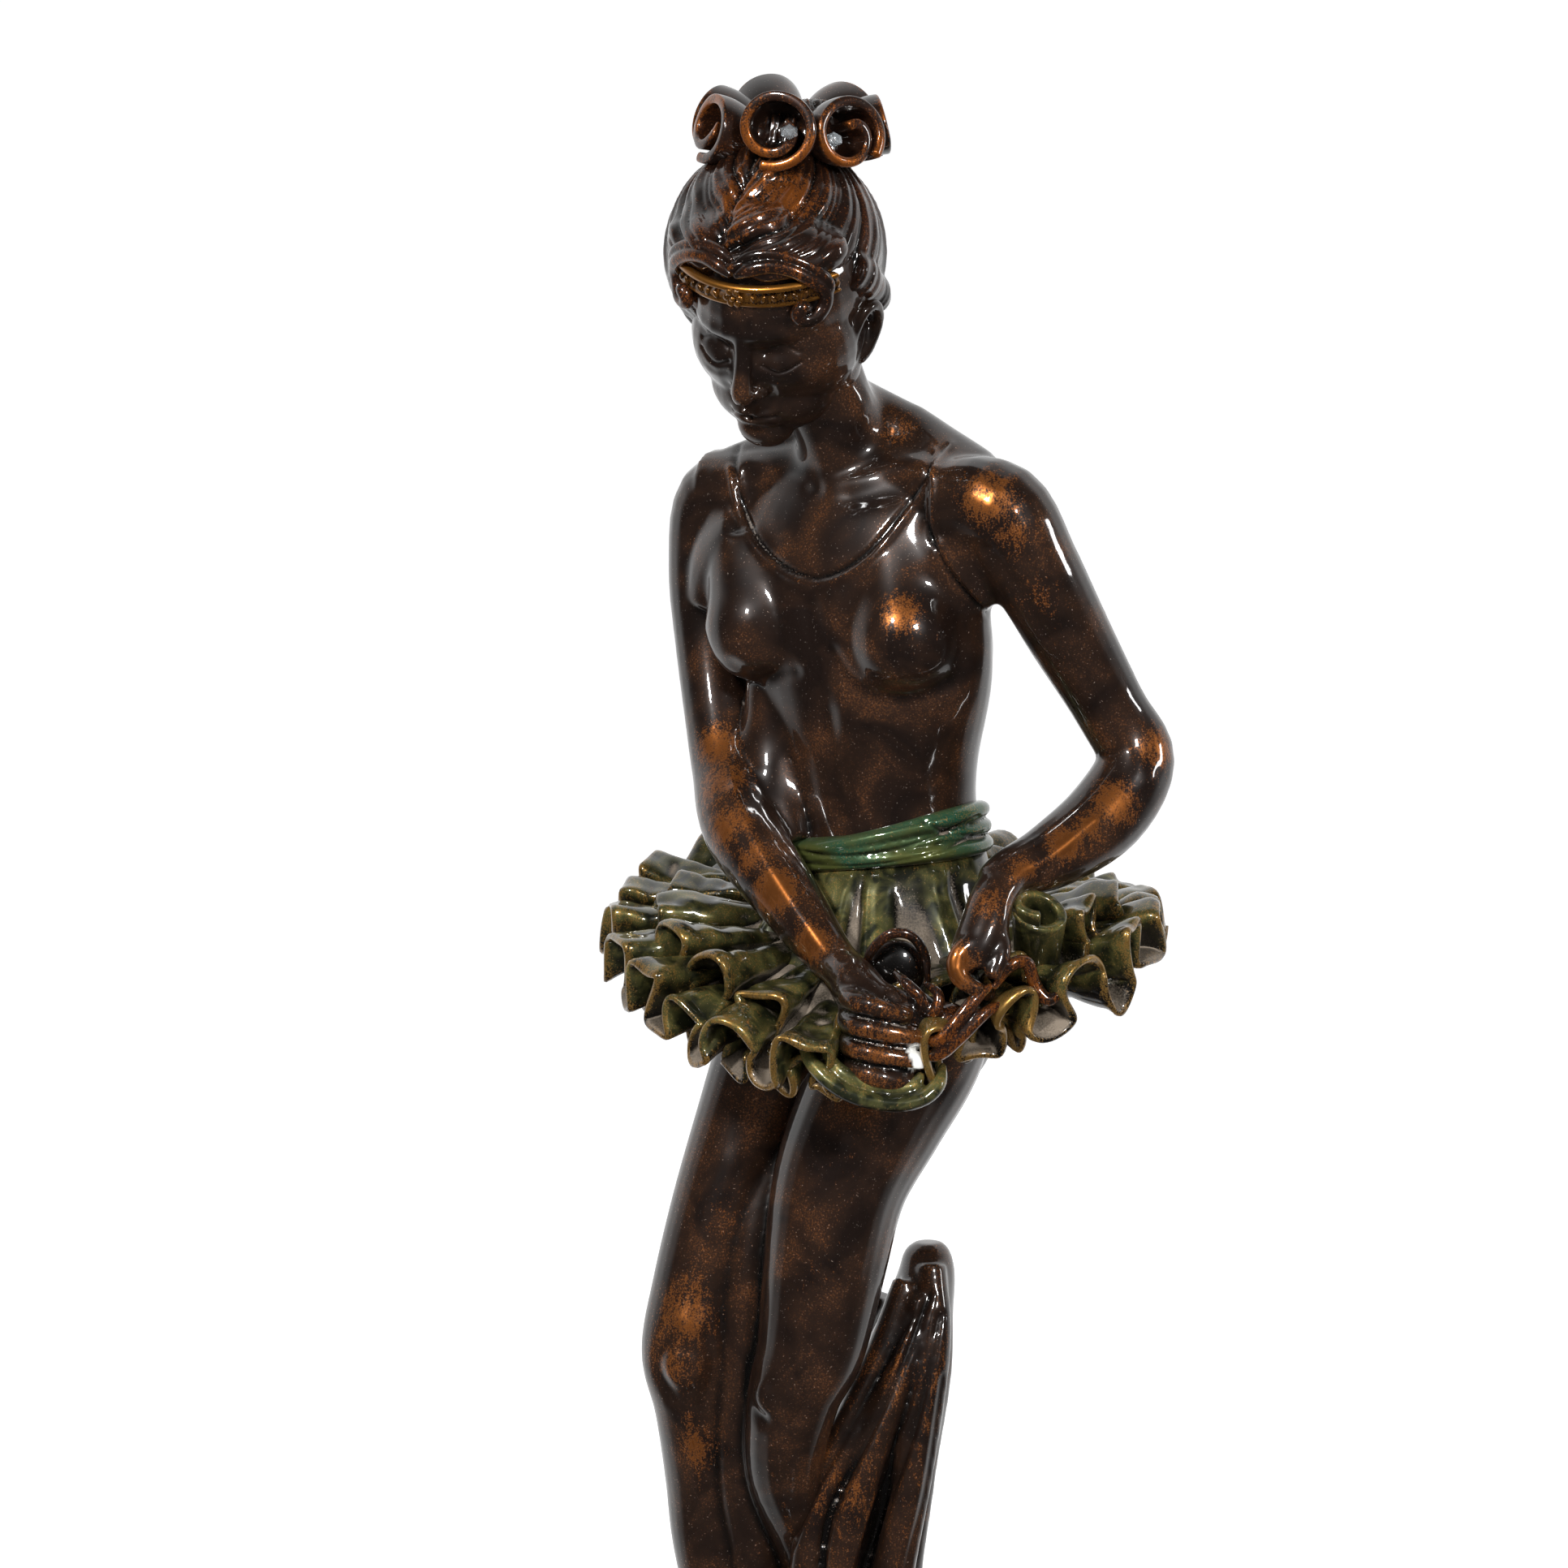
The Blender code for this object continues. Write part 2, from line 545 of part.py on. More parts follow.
def make_base():
    low, top, rim = PLINTH_BASE, PLINTH_TOP, PLINTH_RADIUS
    plinth = turned_profile("marble_plinth", MARBLE, [
        (0, top), (rim - 3.4, top), (rim - 2, top - 2.2), (rim - 3.2, top - 4.6), (rim - 4.6, top - 6),
        (rim - 3.8, low + 9.4), (rim - 1, low + 6.4), (rim, low + 5), (rim, low), (0, low),
    ], 40)
    top, low, rim = PLATE_BASE + PLATE_HEIGHT, PLATE_BASE, PLATE_RADIUS
    plate = turned_profile("ground_plate", BRONZE, [
        (0, top), (rim - 7, top), (rim - 3.2, top - 0.7), (rim - 0.8, top - 2.4), (rim, top - 4.6),
        (rim, low), (0, low),
    ], 40)
    turned_profile("felt_pad", FELT, [
        (0, FELT_THICKNESS), (PLINTH_RADIUS - FELT_INSET, FELT_THICKNESS),
        (PLINTH_RADIUS - FELT_INSET, 0), (0, 0),
    ], 40)
    return plinth, plate


def upright(name, place, radius, low, high, finish=None, sides=16):
    """An upright bar at a place of the ground, in metres, between two heights in millimetres."""
    return rod(name, radius, Vector((*place, low * MM)), Vector((*place, high * MM)), finish, sides)


def bolt_down(name, castings, x, y, plate, plinth):
    """A threaded stud from the castings through the plate and plinth, with its washer and nut."""
    place = (x * K * MM, y * K * MM)
    ceiling = PLINTH_BASE + RECESS_DEPTH
    foot, head = PLINTH_BASE + 1.0, GROUND + STUD_IN_CASTING
    hole = STUD_RADIUS + PIN_CLEARANCE
    upright(name + "_stud", place, STUD_RADIUS, foot, head, STEEL)
    for body in (*castings, plate, plinth):
        cut(body, [upright("bore", place, hole, -1, head + 2 * PIN_CLEARANCE)])
    cut(plinth, [upright("recess", place, RECESS_RADIUS, -1, ceiling, sides=24)])
    top = ceiling - CLEARANCE
    washer = upright(name + "_washer", place, WASHER_RADIUS, top - WASHER_HEIGHT, top, STEEL, 24)
    cut(washer, [upright("bore", place, hole, 0, ceiling + 1)])
    top -= WASHER_HEIGHT + CLEARANCE
    corner = NUT_FLATS / math.sqrt(3)
    nut = upright(name + "_nut", place, corner, top - NUT_HEIGHT, top, STEEL, 6)
    cut(nut, [upright("bore", place, hole, 0, ceiling + 1)])


def level_foot(casting):
    """Trims a casting level at the ground, so that it stands on the plate."""
    cut(casting, [block((-10, 0, 30), (0, 0, -1), 160, 30)])


def main():
    clear_scene()
    head, hair, band = make_head(), make_hair(), make_headband()
    torso = make_torso()
    clay = bmesh.new()
    limb(clay, LEFT_ARM)
    left_arm = cast("left_arm", clay, BRONZE, 300, 0.8, 3)
    clay = bmesh.new()
    limb(clay, RIGHT_ARM)
    right_arm = cast("right_arm", clay, BRONZE, 300, 0.8, 3)
    right_hand, left_hand = make_hands()
    sash, yoke = make_sash(), make_yoke()
    ruffles = [make_ruffle(number) for number in range(len(TUTU_LAYERS))]
    standing_leg, left_leg = make_legs()
    support = make_support()
    plinth, plate = make_base()

    # Flat joints, each with the dowel that holds it
    carve(torso, head, near=(-1, 4, 240))
    pin("neck_dowel", (-3, 7.6, 294), (-6.6, 4.2, 308), PIN_RADIUS, (torso, head))
    butt_joint(torso, left_arm, (17.5, -14.6, 297.6), (0.78, -0.52, -0.1), 32, 20)
    pin("left_shoulder_dowel", (12, -10.8, 298.5), (23.5, -17.6, 296.5), PIN_RADIUS, (torso, left_arm))
    butt_joint(torso, right_arm, (-29.6, 17.6, 297.6), (-0.78, 0.52, -0.1), 30, 20)
    pin("right_shoulder_dowel", (-24, 14, 298.5), (-35, 20.6, 296.8), PIN_RADIUS, (torso, right_arm))
    butt_joint(left_arm, left_hand, (19.6, -35, 224), (-0.55, -0.66, -0.5), 16, 12)
    pin("left_wrist_dowel", (22.4, -32, 226), (17.6, -37.4, 221.4), WRIST_PIN_RADIUS, (left_arm, left_hand))
    butt_joint(right_arm, right_hand, (-8.2, -31, 208), (0.62, -0.5, -0.6), 16, 12)
    pin("right_wrist_dowel", (-11, -28.6, 210.6), (-5.2, -33.4, 205), WRIST_PIN_RADIUS,
        (right_arm, right_hand))

    # The waist: torso, sash, yoke and the tutu's collars stacked on the hips' spigot
    up = WAIST.to_3x3() @ Vector((0, 0, 1))
    face = WAIST @ Vector((0, 0, 3.3))
    cut(torso, [block(face, -up, 90, 30, CLEARANCE / K)])
    pin("waist_dowel", WAIST @ Vector((0, 0, -6.5)), WAIST @ Vector((0, 0, 10)), PIN_RADIUS + 1,
        (torso, sash, yoke))
    up = TUTU.to_3x3() @ Vector((0, 0, 1))
    cut(yoke, [block(TUTU @ Vector((0, 0, LAYER_STEP)), -up, 160, 40, CLEARANCE / 2 / K)])
    lowest = -LAYER_STEP * (len(TUTU_LAYERS) - 1)
    cut(standing_leg, [block(TUTU @ Vector((0, 0, lowest)), up, 160, 60, CLEARANCE / 2 / K)])
    cut(left_leg, [block(TUTU @ Vector((0, 0, lowest)), up, 160, 60, CLEARANCE / 2 / K)])
    spigot = (TUTU @ Vector((0, 0, lowest - 4)), TUTU @ Vector((0, 0, LAYER_STEP + 2)))
    pin("hip_dowel", *spigot, TUTU_SPIGOT_RADIUS, (standing_leg, *ruffles, yoke))

    # The legs and what they stand in
    carve(left_leg, standing_leg, near=(-14.6, -26, 134))
    pin("left_hip_dowel", (-6, 2, 194), (11, -12.2, 188.3), PIN_RADIUS, (standing_leg, left_leg))
    carve(support, left_leg, standing_leg, near=(13, 8, 60))
    for casting in (standing_leg, support):
        level_foot(casting)
    bolt_down("leg", (standing_leg, support), -30, 4, plate, plinth)
    bolt_down("support", (support,), -4, 6, plate, plinth)

    # The hair over the head, the curls on the hair, and the hands in the ruffles
    carve(hair, head, near=(-18.7, 1, 384))
    for body in (head, hair):
        carve(body, band, near=(-18.7, 1, 384) if body is hair else (-14, 0, 320))
    curls = [make_curl(number) for number in range(CURL_COUNT)]
    for curl in curls:
        carve(curl, hair)
    for name, number in (("hair_crystal_1", 0), ("hair_crystal_2", 1)):
        carve(curls[number], make_crystal(name, number))
    for ruffle in ruffles:
        carve(ruffle, right_hand, left_hand, near=(0, 58, 236))
    carve(ruffles[-1], left_leg, standing_leg)
    carve(yoke, right_arm, near=(15, 10, 222))


main()
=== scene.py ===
"""Ballet dancer statuette on a turned plinth: cast figure, ruffled tutu, patina and studio.

The figure's shapes are written in millimetres at their real size. She faces -Y, her left is +X.
"""

import math

import bmesh
import bpy
import numpy as np
from mathutils import Matrix, Vector, noise


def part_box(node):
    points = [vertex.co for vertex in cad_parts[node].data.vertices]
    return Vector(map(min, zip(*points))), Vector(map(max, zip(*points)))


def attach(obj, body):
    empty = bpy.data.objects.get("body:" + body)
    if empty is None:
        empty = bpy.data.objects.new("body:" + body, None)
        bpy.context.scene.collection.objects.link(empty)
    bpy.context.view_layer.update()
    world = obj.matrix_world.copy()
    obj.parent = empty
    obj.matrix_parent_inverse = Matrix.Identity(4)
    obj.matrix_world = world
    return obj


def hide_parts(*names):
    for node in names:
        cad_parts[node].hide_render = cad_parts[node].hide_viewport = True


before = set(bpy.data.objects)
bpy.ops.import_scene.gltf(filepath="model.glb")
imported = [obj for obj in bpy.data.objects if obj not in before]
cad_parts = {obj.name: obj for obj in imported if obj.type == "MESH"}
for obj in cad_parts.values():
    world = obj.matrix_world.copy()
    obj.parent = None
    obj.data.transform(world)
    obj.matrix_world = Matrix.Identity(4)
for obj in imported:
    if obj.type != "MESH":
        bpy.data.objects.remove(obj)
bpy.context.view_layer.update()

MM = 0.001
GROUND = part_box("standing_leg")[0].z
GROUND_IN_FIGURE = 30  # millimetres, in the figure's own numbers
FIGURE = Matrix.Translation((0, 0, GROUND - GROUND_IN_FIGURE * MM)) @ Matrix.Scale(MM, 4)


def turned(angle, axis):
    return Matrix.Rotation(math.radians(angle), 4, axis)


# Places of the sections inside the figure
HEAD = (
    Matrix.Translation((-21, -6, 337)) @ turned(-29, "Z") @ turned(30, "X") @ turned(7.5, "Y")
)
TOPKNOT = Matrix.Translation((-18.7, 1, 374.6)) @ turned(8, "X")
WAIST = Matrix.Translation((-1, 4, 232)) @ turned(-9, "Y") @ turned(-25, "Z")
TUTU = Matrix.Translation((0, 2, 213)) @ turned(21.8, "X")


# Clay shapes: closed shells that overlap, which a voxel remesh then joins into one casting

def smooth_rows(stations, steps):
    """The stations, which are rows of numbers, with more rows on a smooth curve between them."""
    rows = [tuple(s) for s in stations]
    before = tuple(2 * p - q for p, q in zip(rows[0], rows[1]))
    after = tuple(2 * p - q for p, q in zip(rows[-1], rows[-2]))
    rows = [before, *rows, after]
    out = []
    for a, b, c, d in zip(rows, rows[1:], rows[2:], rows[3:]):
        for i in range(steps):
            t = i / steps
            out.append(tuple(
                0.5 * (2 * q + (r - p) * t + (2 * p - 5 * q + 4 * r - s) * t * t
                       + (3 * q - p - 3 * r + s) * t ** 3)
                for p, q, r, s in zip(a, b, c, d)
            ))
    return [*out, rows[-2]]


def loft(clay, matrices, sides):
    """A closed shell through a row of placed circles. Returns its vertices."""
    made, rings = [], []
    for matrix in matrices:
        verts = bmesh.ops.create_circle(clay, radius=1, segments=sides, matrix=matrix)["verts"]
        rings.append(list({edge for vert in verts for edge in vert.link_edges}))
        made += verts
    for lower, upper in zip(rings, rings[1:]):
        bmesh.ops.bridge_loops(clay, edges=lower + upper)
    for end in (rings[0], rings[-1]):
        bmesh.ops.edgeloop_fill(clay, edges=end)
    return made


def along(points):
    """The turn at each point that sets Z along the path, carried on with no twist."""
    turns, last = [], None
    for i in range(len(points)):
        ahead = (points[min(i + 1, len(points) - 1)] - points[max(i - 1, 0)]).normalized()
        if last is None:
            turn = ahead.to_track_quat("Z", "Y")
        else:
            turn = last[1].rotation_difference(ahead) @ last[0]
        last = (turn, ahead)
        turns.append(turn.to_matrix().to_4x4())
    return turns


def limb(clay, stations, steps=5, sides=20, flat=1.0):
    """A limb through (x, y, z, radius) stations; flat is its thickness across over along."""
    rows = smooth_rows(stations, steps)
    points = [Vector(row[:3]) for row in rows]
    matrices = [
        Matrix.Translation(point) @ turn @ Matrix.Diagonal((row[3], row[3] * flat, 1, 1))
        for point, turn, row in zip(points, along(points), rows)
    ]
    return loft(clay, matrices, sides)


def rope(clay, path, radius, steps=5, sides=14, taper=0.25):
    """A strand of one radius along (x, y, z) points, with its ends drawn in."""
    last = len(path) - 1
    stations = [
        (*point, radius * (taper if i in (0, last) else 1.0)) for i, point in enumerate(path)
    ]
    return limb(clay, stations, steps, sides)


def trunk(clay, stations, steps=4, sides=40):
    """A body of level sections, each (x, y, z, half width, half depth, yaw)."""
    matrices = [
        Matrix.Translation((x, y, z)) @ turned(yaw, "Z") @ Matrix.Diagonal((width, depth, 1, 1))
        for x, y, z, width, depth, yaw in smooth_rows(stations, steps)
    ]
    return loft(clay, matrices, sides)


def ball(clay, centre, radii, turn=Matrix.Identity(4)):
    matrix = Matrix.Translation(centre) @ turn @ Matrix.Diagonal((*radii, 1))
    return bmesh.ops.create_uvsphere(
        clay, u_segments=32, v_segments=20, radius=1, matrix=matrix
    )["verts"]


def move(clay, verts, matrix):
    bmesh.ops.transform(clay, matrix=matrix, verts=verts)


def piece_from(name, clay, place=FIGURE):
    """A piece of the object, with its place in its mesh and its faces outwards."""
    bmesh.ops.transform(clay, matrix=place, verts=clay.verts)
    bmesh.ops.recalc_face_normals(clay, faces=clay.faces)
    mesh = bpy.data.meshes.new(name)
    clay.to_mesh(mesh)
    clay.free()
    obj = bpy.data.objects.new(name, mesh)
    bpy.context.scene.collection.objects.link(obj)
    return obj


def baked(obj):
    """Replaces the object's mesh by the one its modifiers give."""
    bpy.context.view_layer.update()
    graph = bpy.context.evaluated_depsgraph_get()
    mesh = bpy.data.meshes.new_from_object(obj.evaluated_get(graph))
    obj.modifiers.clear()
    obj.data = mesh
    mesh.shade_smooth()
    return obj


def modify(obj, kind, **settings):
    modifier = obj.modifiers.new(kind.title(), kind)
    for name, value in settings.items():
        setattr(modifier, name, value)
    return modifier


def thicken(obj, thickness, levels):
    """Gives a sheet its thickness, in millimetres, and rounds it."""
    modify(obj, "SOLIDIFY", thickness=thickness * MM, offset=0.0, thickness_clamp=0.0)
    modify(obj, "SUBSURF", levels=levels, render_levels=levels)
    return baked(obj)


def cast(name, clay, voxel, smoothings):
    """Joins a clay's shells into one smooth casting. The voxel is in millimetres."""
    obj = piece_from(name, clay)
    modify(obj, "REMESH", mode="VOXEL", voxel_size=voxel * MM * 1)
    modify(obj, "SMOOTH", factor=0.5, iterations=smoothings)
    return baked(obj)


# Modelling tools, which push a casting's surface along its normals

def points_of(obj):
    """The vertices of a piece in design millimetres, and their normals."""
    count = len(obj.data.vertices)
    points, normals = np.empty(count * 3), np.empty(count * 3)
    obj.data.vertices.foreach_get("co", points)
    obj.data.vertex_normals.foreach_get("vector", normals)
    points = points.reshape(-1, 3) / MM
    points[:, 2] += GROUND_IN_FIGURE - GROUND / MM
    return points, normals.reshape(-1, 3)


def set_points(obj, points):
    points = points.copy()
    points[:, 2] -= GROUND_IN_FIGURE - GROUND / MM
    obj.data.vertices.foreach_set("co", (points * MM).ravel())
    obj.data.update()


def distance_to(points, path):
    """How far each point is from a path of straight runs."""
    near = np.full(len(points), 1e9)
    for a, b in zip(path, path[1:]):
        run = b - a
        length = max(float(run @ run), 1e-9)
        t = np.clip((points - a) @ run / length, 0, 1)
        near = np.minimum(near, ((points - a - t[:, None] * run) ** 2).sum(1))
    return np.sqrt(near)


def facing(normals, side):
    """How far each normal looks to a side, from 0 to 1, with no step between."""
    share = np.clip(normals @ np.array(side) * 1.8, 0, 1)
    return share * share * (3 - 2 * share)


def stroke(points, normals, path, width, side):
    """The weight of a smooth stroke of (x, z) points over the surface that looks to the side."""
    near = distance_to(points[:, [0, 2]], np.array(smooth_rows(path, 6)))
    return np.exp(-((near / width) ** 2)) * facing(normals, side)


def model(obj, strokes, side=(0, -1, 0)):
    """Presses strokes of (path, width, height) into a piece; a negative height is a groove."""
    points, normals = points_of(obj)
    lift = np.zeros(len(points))
    for path, width, height in strokes:
        lift += height * stroke(points, normals, path, width, side)
    set_points(obj, points + lift[:, None] * normals)


def edges_of(obj):
    """The two vertices of each edge of a piece."""
    ends = np.empty(len(obj.data.edges) * 2, np.int32)
    obj.data.edges.foreach_get("vertices", ends)
    return ends.reshape(-1, 2)


def rounded(points, ends, passes):
    """The points after that many passes of averaging each with its neighbours."""
    count = len(points)
    both = np.concatenate([ends, ends[:, ::-1]])
    near = np.bincount(both[:, 0], minlength=count).clip(1)
    for _ in range(passes):
        mean = np.stack(
            [np.bincount(both[:, 0], points[both[:, 1], k], count) for k in range(3)], axis=1
        ) / near[:, None]
        points = points + 0.9 * (mean - points)
    return points


def soften(obj, spots, passes):
    """Blends the shapes inside each (x, y, z, radius) spot into each other, as with a wet thumb."""
    points, _ = points_of(obj)
    share = np.zeros(len(points))
    for *centre, radius in spots:
        away = np.sqrt(((points - np.array(centre)) ** 2).sum(1))
        share = np.maximum(share, np.clip(1.6 - 1.3 * away / radius, 0, 1))
    near = np.flatnonzero(share > 0)
    order = np.full(len(points), -1)
    order[near] = np.arange(len(near))
    ends = order[edges_of(obj)]
    ends = ends[(ends >= 0).all(1)]
    smooth = points.copy()
    smooth[near] = rounded(points[near], ends, passes)
    set_points(obj, points + share[:, None] * (smooth - points))


def press(obj, bumps, place, side=(0, -1, 0)):
    """Raises or sinks oval spots on the side of a piece, on both sides of the middle.

    Each is (x, z, width, height, lift) in the place's own frame.
    """
    points, normals = points_of(obj)
    inverse = np.array(place.inverted())
    local = points @ inverse[:3, :3].T + inverse[:3, 3]
    ahead = np.array(place.to_3x3() @ Vector(side))
    lift = np.zeros(len(points))
    for x, z, width, height, rise in bumps:
        for mirror in (-1, 1) if x else (1,):
            lift += rise * np.exp(
                -(((local[:, 0] - mirror * x) / width) ** 2) - ((local[:, 2] - z) / height) ** 2
            )
    lift *= facing(normals, ahead)
    set_points(obj, points + lift[:, None] * ahead)


def layer(obj, name, values):
    """Stores one number a vertex under that name."""
    attribute = obj.data.attributes.new(name, "FLOAT", "POINT")
    attribute.data.foreach_set("value", np.asarray(values, np.float32))


def wear(obj, spots=(), passes=14, reach=0.35):
    """Where a hand would rub the finish off and where dust would lie, as vertex layers.

    ridge and hollow come from how far each point stands out of its rounded surroundings, with
    reach the height in millimetres that counts as full; spots are (x, y, z, radius, strength).
    A piece's own sunk and lip layers are added to hollow and rubbed; on some cloth pieces sunk
    holds painted shade, so there hollow holds painted shade as well as the hollows.
    """
    points, normals = points_of(obj)
    stand = ((points - rounded(points, edges_of(obj), passes)) * normals).sum(1) / reach
    rubbed = np.zeros(len(points))
    for *centre, radius, strength in spots:
        away = ((points - np.array(centre)) ** 2).sum(1) / radius ** 2
        rubbed = np.maximum(rubbed, strength * np.exp(-away))
    sunk_and_shade = np.clip(-stand, 0, 1.5)
    # A piece's own sunk layer, which on some cloth pieces holds painted shade, is added to hollow
    for name, total in (("sunk_and_shade", sunk_and_shade), ("lip", rubbed)):
        if name in obj.data.attributes:
            kept = np.empty(len(points), np.float32)
            obj.data.attributes[name].data.foreach_get("value", kept)
            np.clip(total + kept, 0, 1.5, out=total)
            obj.data.attributes.remove(obj.data.attributes[name])
    layer(obj, "ridge", np.clip(stand, 0, 1.5))
    layer(obj, "hollow", sunk_and_shade)
    layer(obj, "rubbed", rubbed)


def chip(obj, centre, radius):
    """A flake of finish gone from the cast body, as a vertex layer."""
    points, _ = points_of(obj)
    ragged = np.array([noise.noise(Vector(point) * 0.9) for point in points - np.array(centre)])
    away = np.sqrt(((points - np.array(centre)) ** 2).sum(1))
    layer(obj, "chip", np.clip((radius - away + 0.6 * ragged) * 4, 0, 1))


# The figure's body

TORSO = (
    (-1, 4, 228, 21, 16.5, -27), (-1, 4, 240, 20, 15.6, -31), (-1.6, 3.6, 250, 21.6, 16.4, -35),
    (-2.6, 2.6, 262, 25.2, 17.8, -35), (-3.4, 2, 273, 27.2, 18.2, -35),
    (-5, 2.4, 285, 27, 16, -35), (-6, 2.6, 295, 26.5, 13, -35), (-6, 3, 302, 22, 10, -35),
    (-5.5, 4, 307, 12, 8.5, -35),
)
LEFT_ARM = (
    (12, -10.5, 300, 9), (21.6, -17.2, 299, 9.6), (28, -17, 288, 9.2), (35.2, -14, 274.6, 8.3),
    (43.6, -11, 259.6, 7.2), (48.6, -11, 249.4, 7.7), (42.6, -17, 239.4, 8), (32, -25, 232.6, 6.7),
    (24, -31, 230, 5), (20.6, -34, 227.6, 4.6),
)
RIGHT_ARM = (
    (-24, 14, 300, 8.6), (-32.8, 20.4, 297.6, 9), (-35, 20.5, 284, 8.3), (-34.4, 18.5, 270, 7.6),
    (-33, 13, 256, 7.1), (-31.2, 6.5, 245.5, 7.3), (-28.4, -5, 234.8, 7.7), (-19, -18, 222.6, 6.5),
    (-11.5, -27.5, 213.4, 4.8), (-8.5, -31, 210.6, 4.5),
)
NECK = (
    (-4, 7, 292, 11), (-5.5, 5.5, 303, 9.6), (-9.5, 1.6, 314, 9), (-13.5, -1.5, 323, 9.2),
    (-17, -3, 332, 10),
)


def closed_hand(clay):
    """Her right hand, with four fingers stacked round the ruffle's edge."""
    limb(clay, [
        (-9, -30.4, 211, 4.6), (-6.4, -35.6, 208.6, 5.1), (-3.4, -39.4, 203.6, 5.6),
        (-2.6, -40.6, 197, 4.8),
    ])
    for z, tip in ((205.6, 3.4), (200.9, 6.4), (196.3, 6.6), (192, 4.4)):
        limb(clay, [
            (-8.4, -38.6, z + 1.6, 2), (-7, -43.2, z + 1.3, 2.25), (-3.2, -46.4, z + 0.6, 2.15),
            (tip - 3.4, -46, z - 0.5, 2.05), (tip - 0.8, -44.4, z - 1.2, 1.9),
            (tip, -42.6, z - 1.6, 1.5),
        ], 5, 18)
    limb(clay, [(-2.6, -38, 207.6, 2.6), (1.4, -40.4, 206.6, 2.3), (4.2, -42, 203.6, 1.9)])


def pinching_hand(clay):
    """Her left hand, dropped at the wrist, with the fingers hooked under the ruffle."""
    limb(clay, [
        (22.6, -32.4, 229.4, 4.6), (19.8, -36.4, 225.6, 4.7), (18.2, -39.4, 220.6, 5),
        (16, -41.6, 215.6, 4.6), (16.4, -42.4, 212.6, 3.4),
    ], 5, 20, 0.8)
    for i in range(4):
        x, y, z = 0.9 * i, 2.4 * i, -0.8 * i
        limb(clay, [
            (15.6 + x, -43 + y, 218.4 + z, 1.9), (12.9 + x, -44.4 + y, 215.2 + z, 2),
            (13.4 + x, -45.2 + y, 211.4 + z, 1.8), (17.8 + x, -44.8 + y, 208.8 + z, 1.5),
        ], 5, 16)
    limb(clay, [(20.4, -38.6, 221, 2.4), (21.4, -42.6, 216, 2.1), (19.6, -44.8, 211.4, 1.7)])


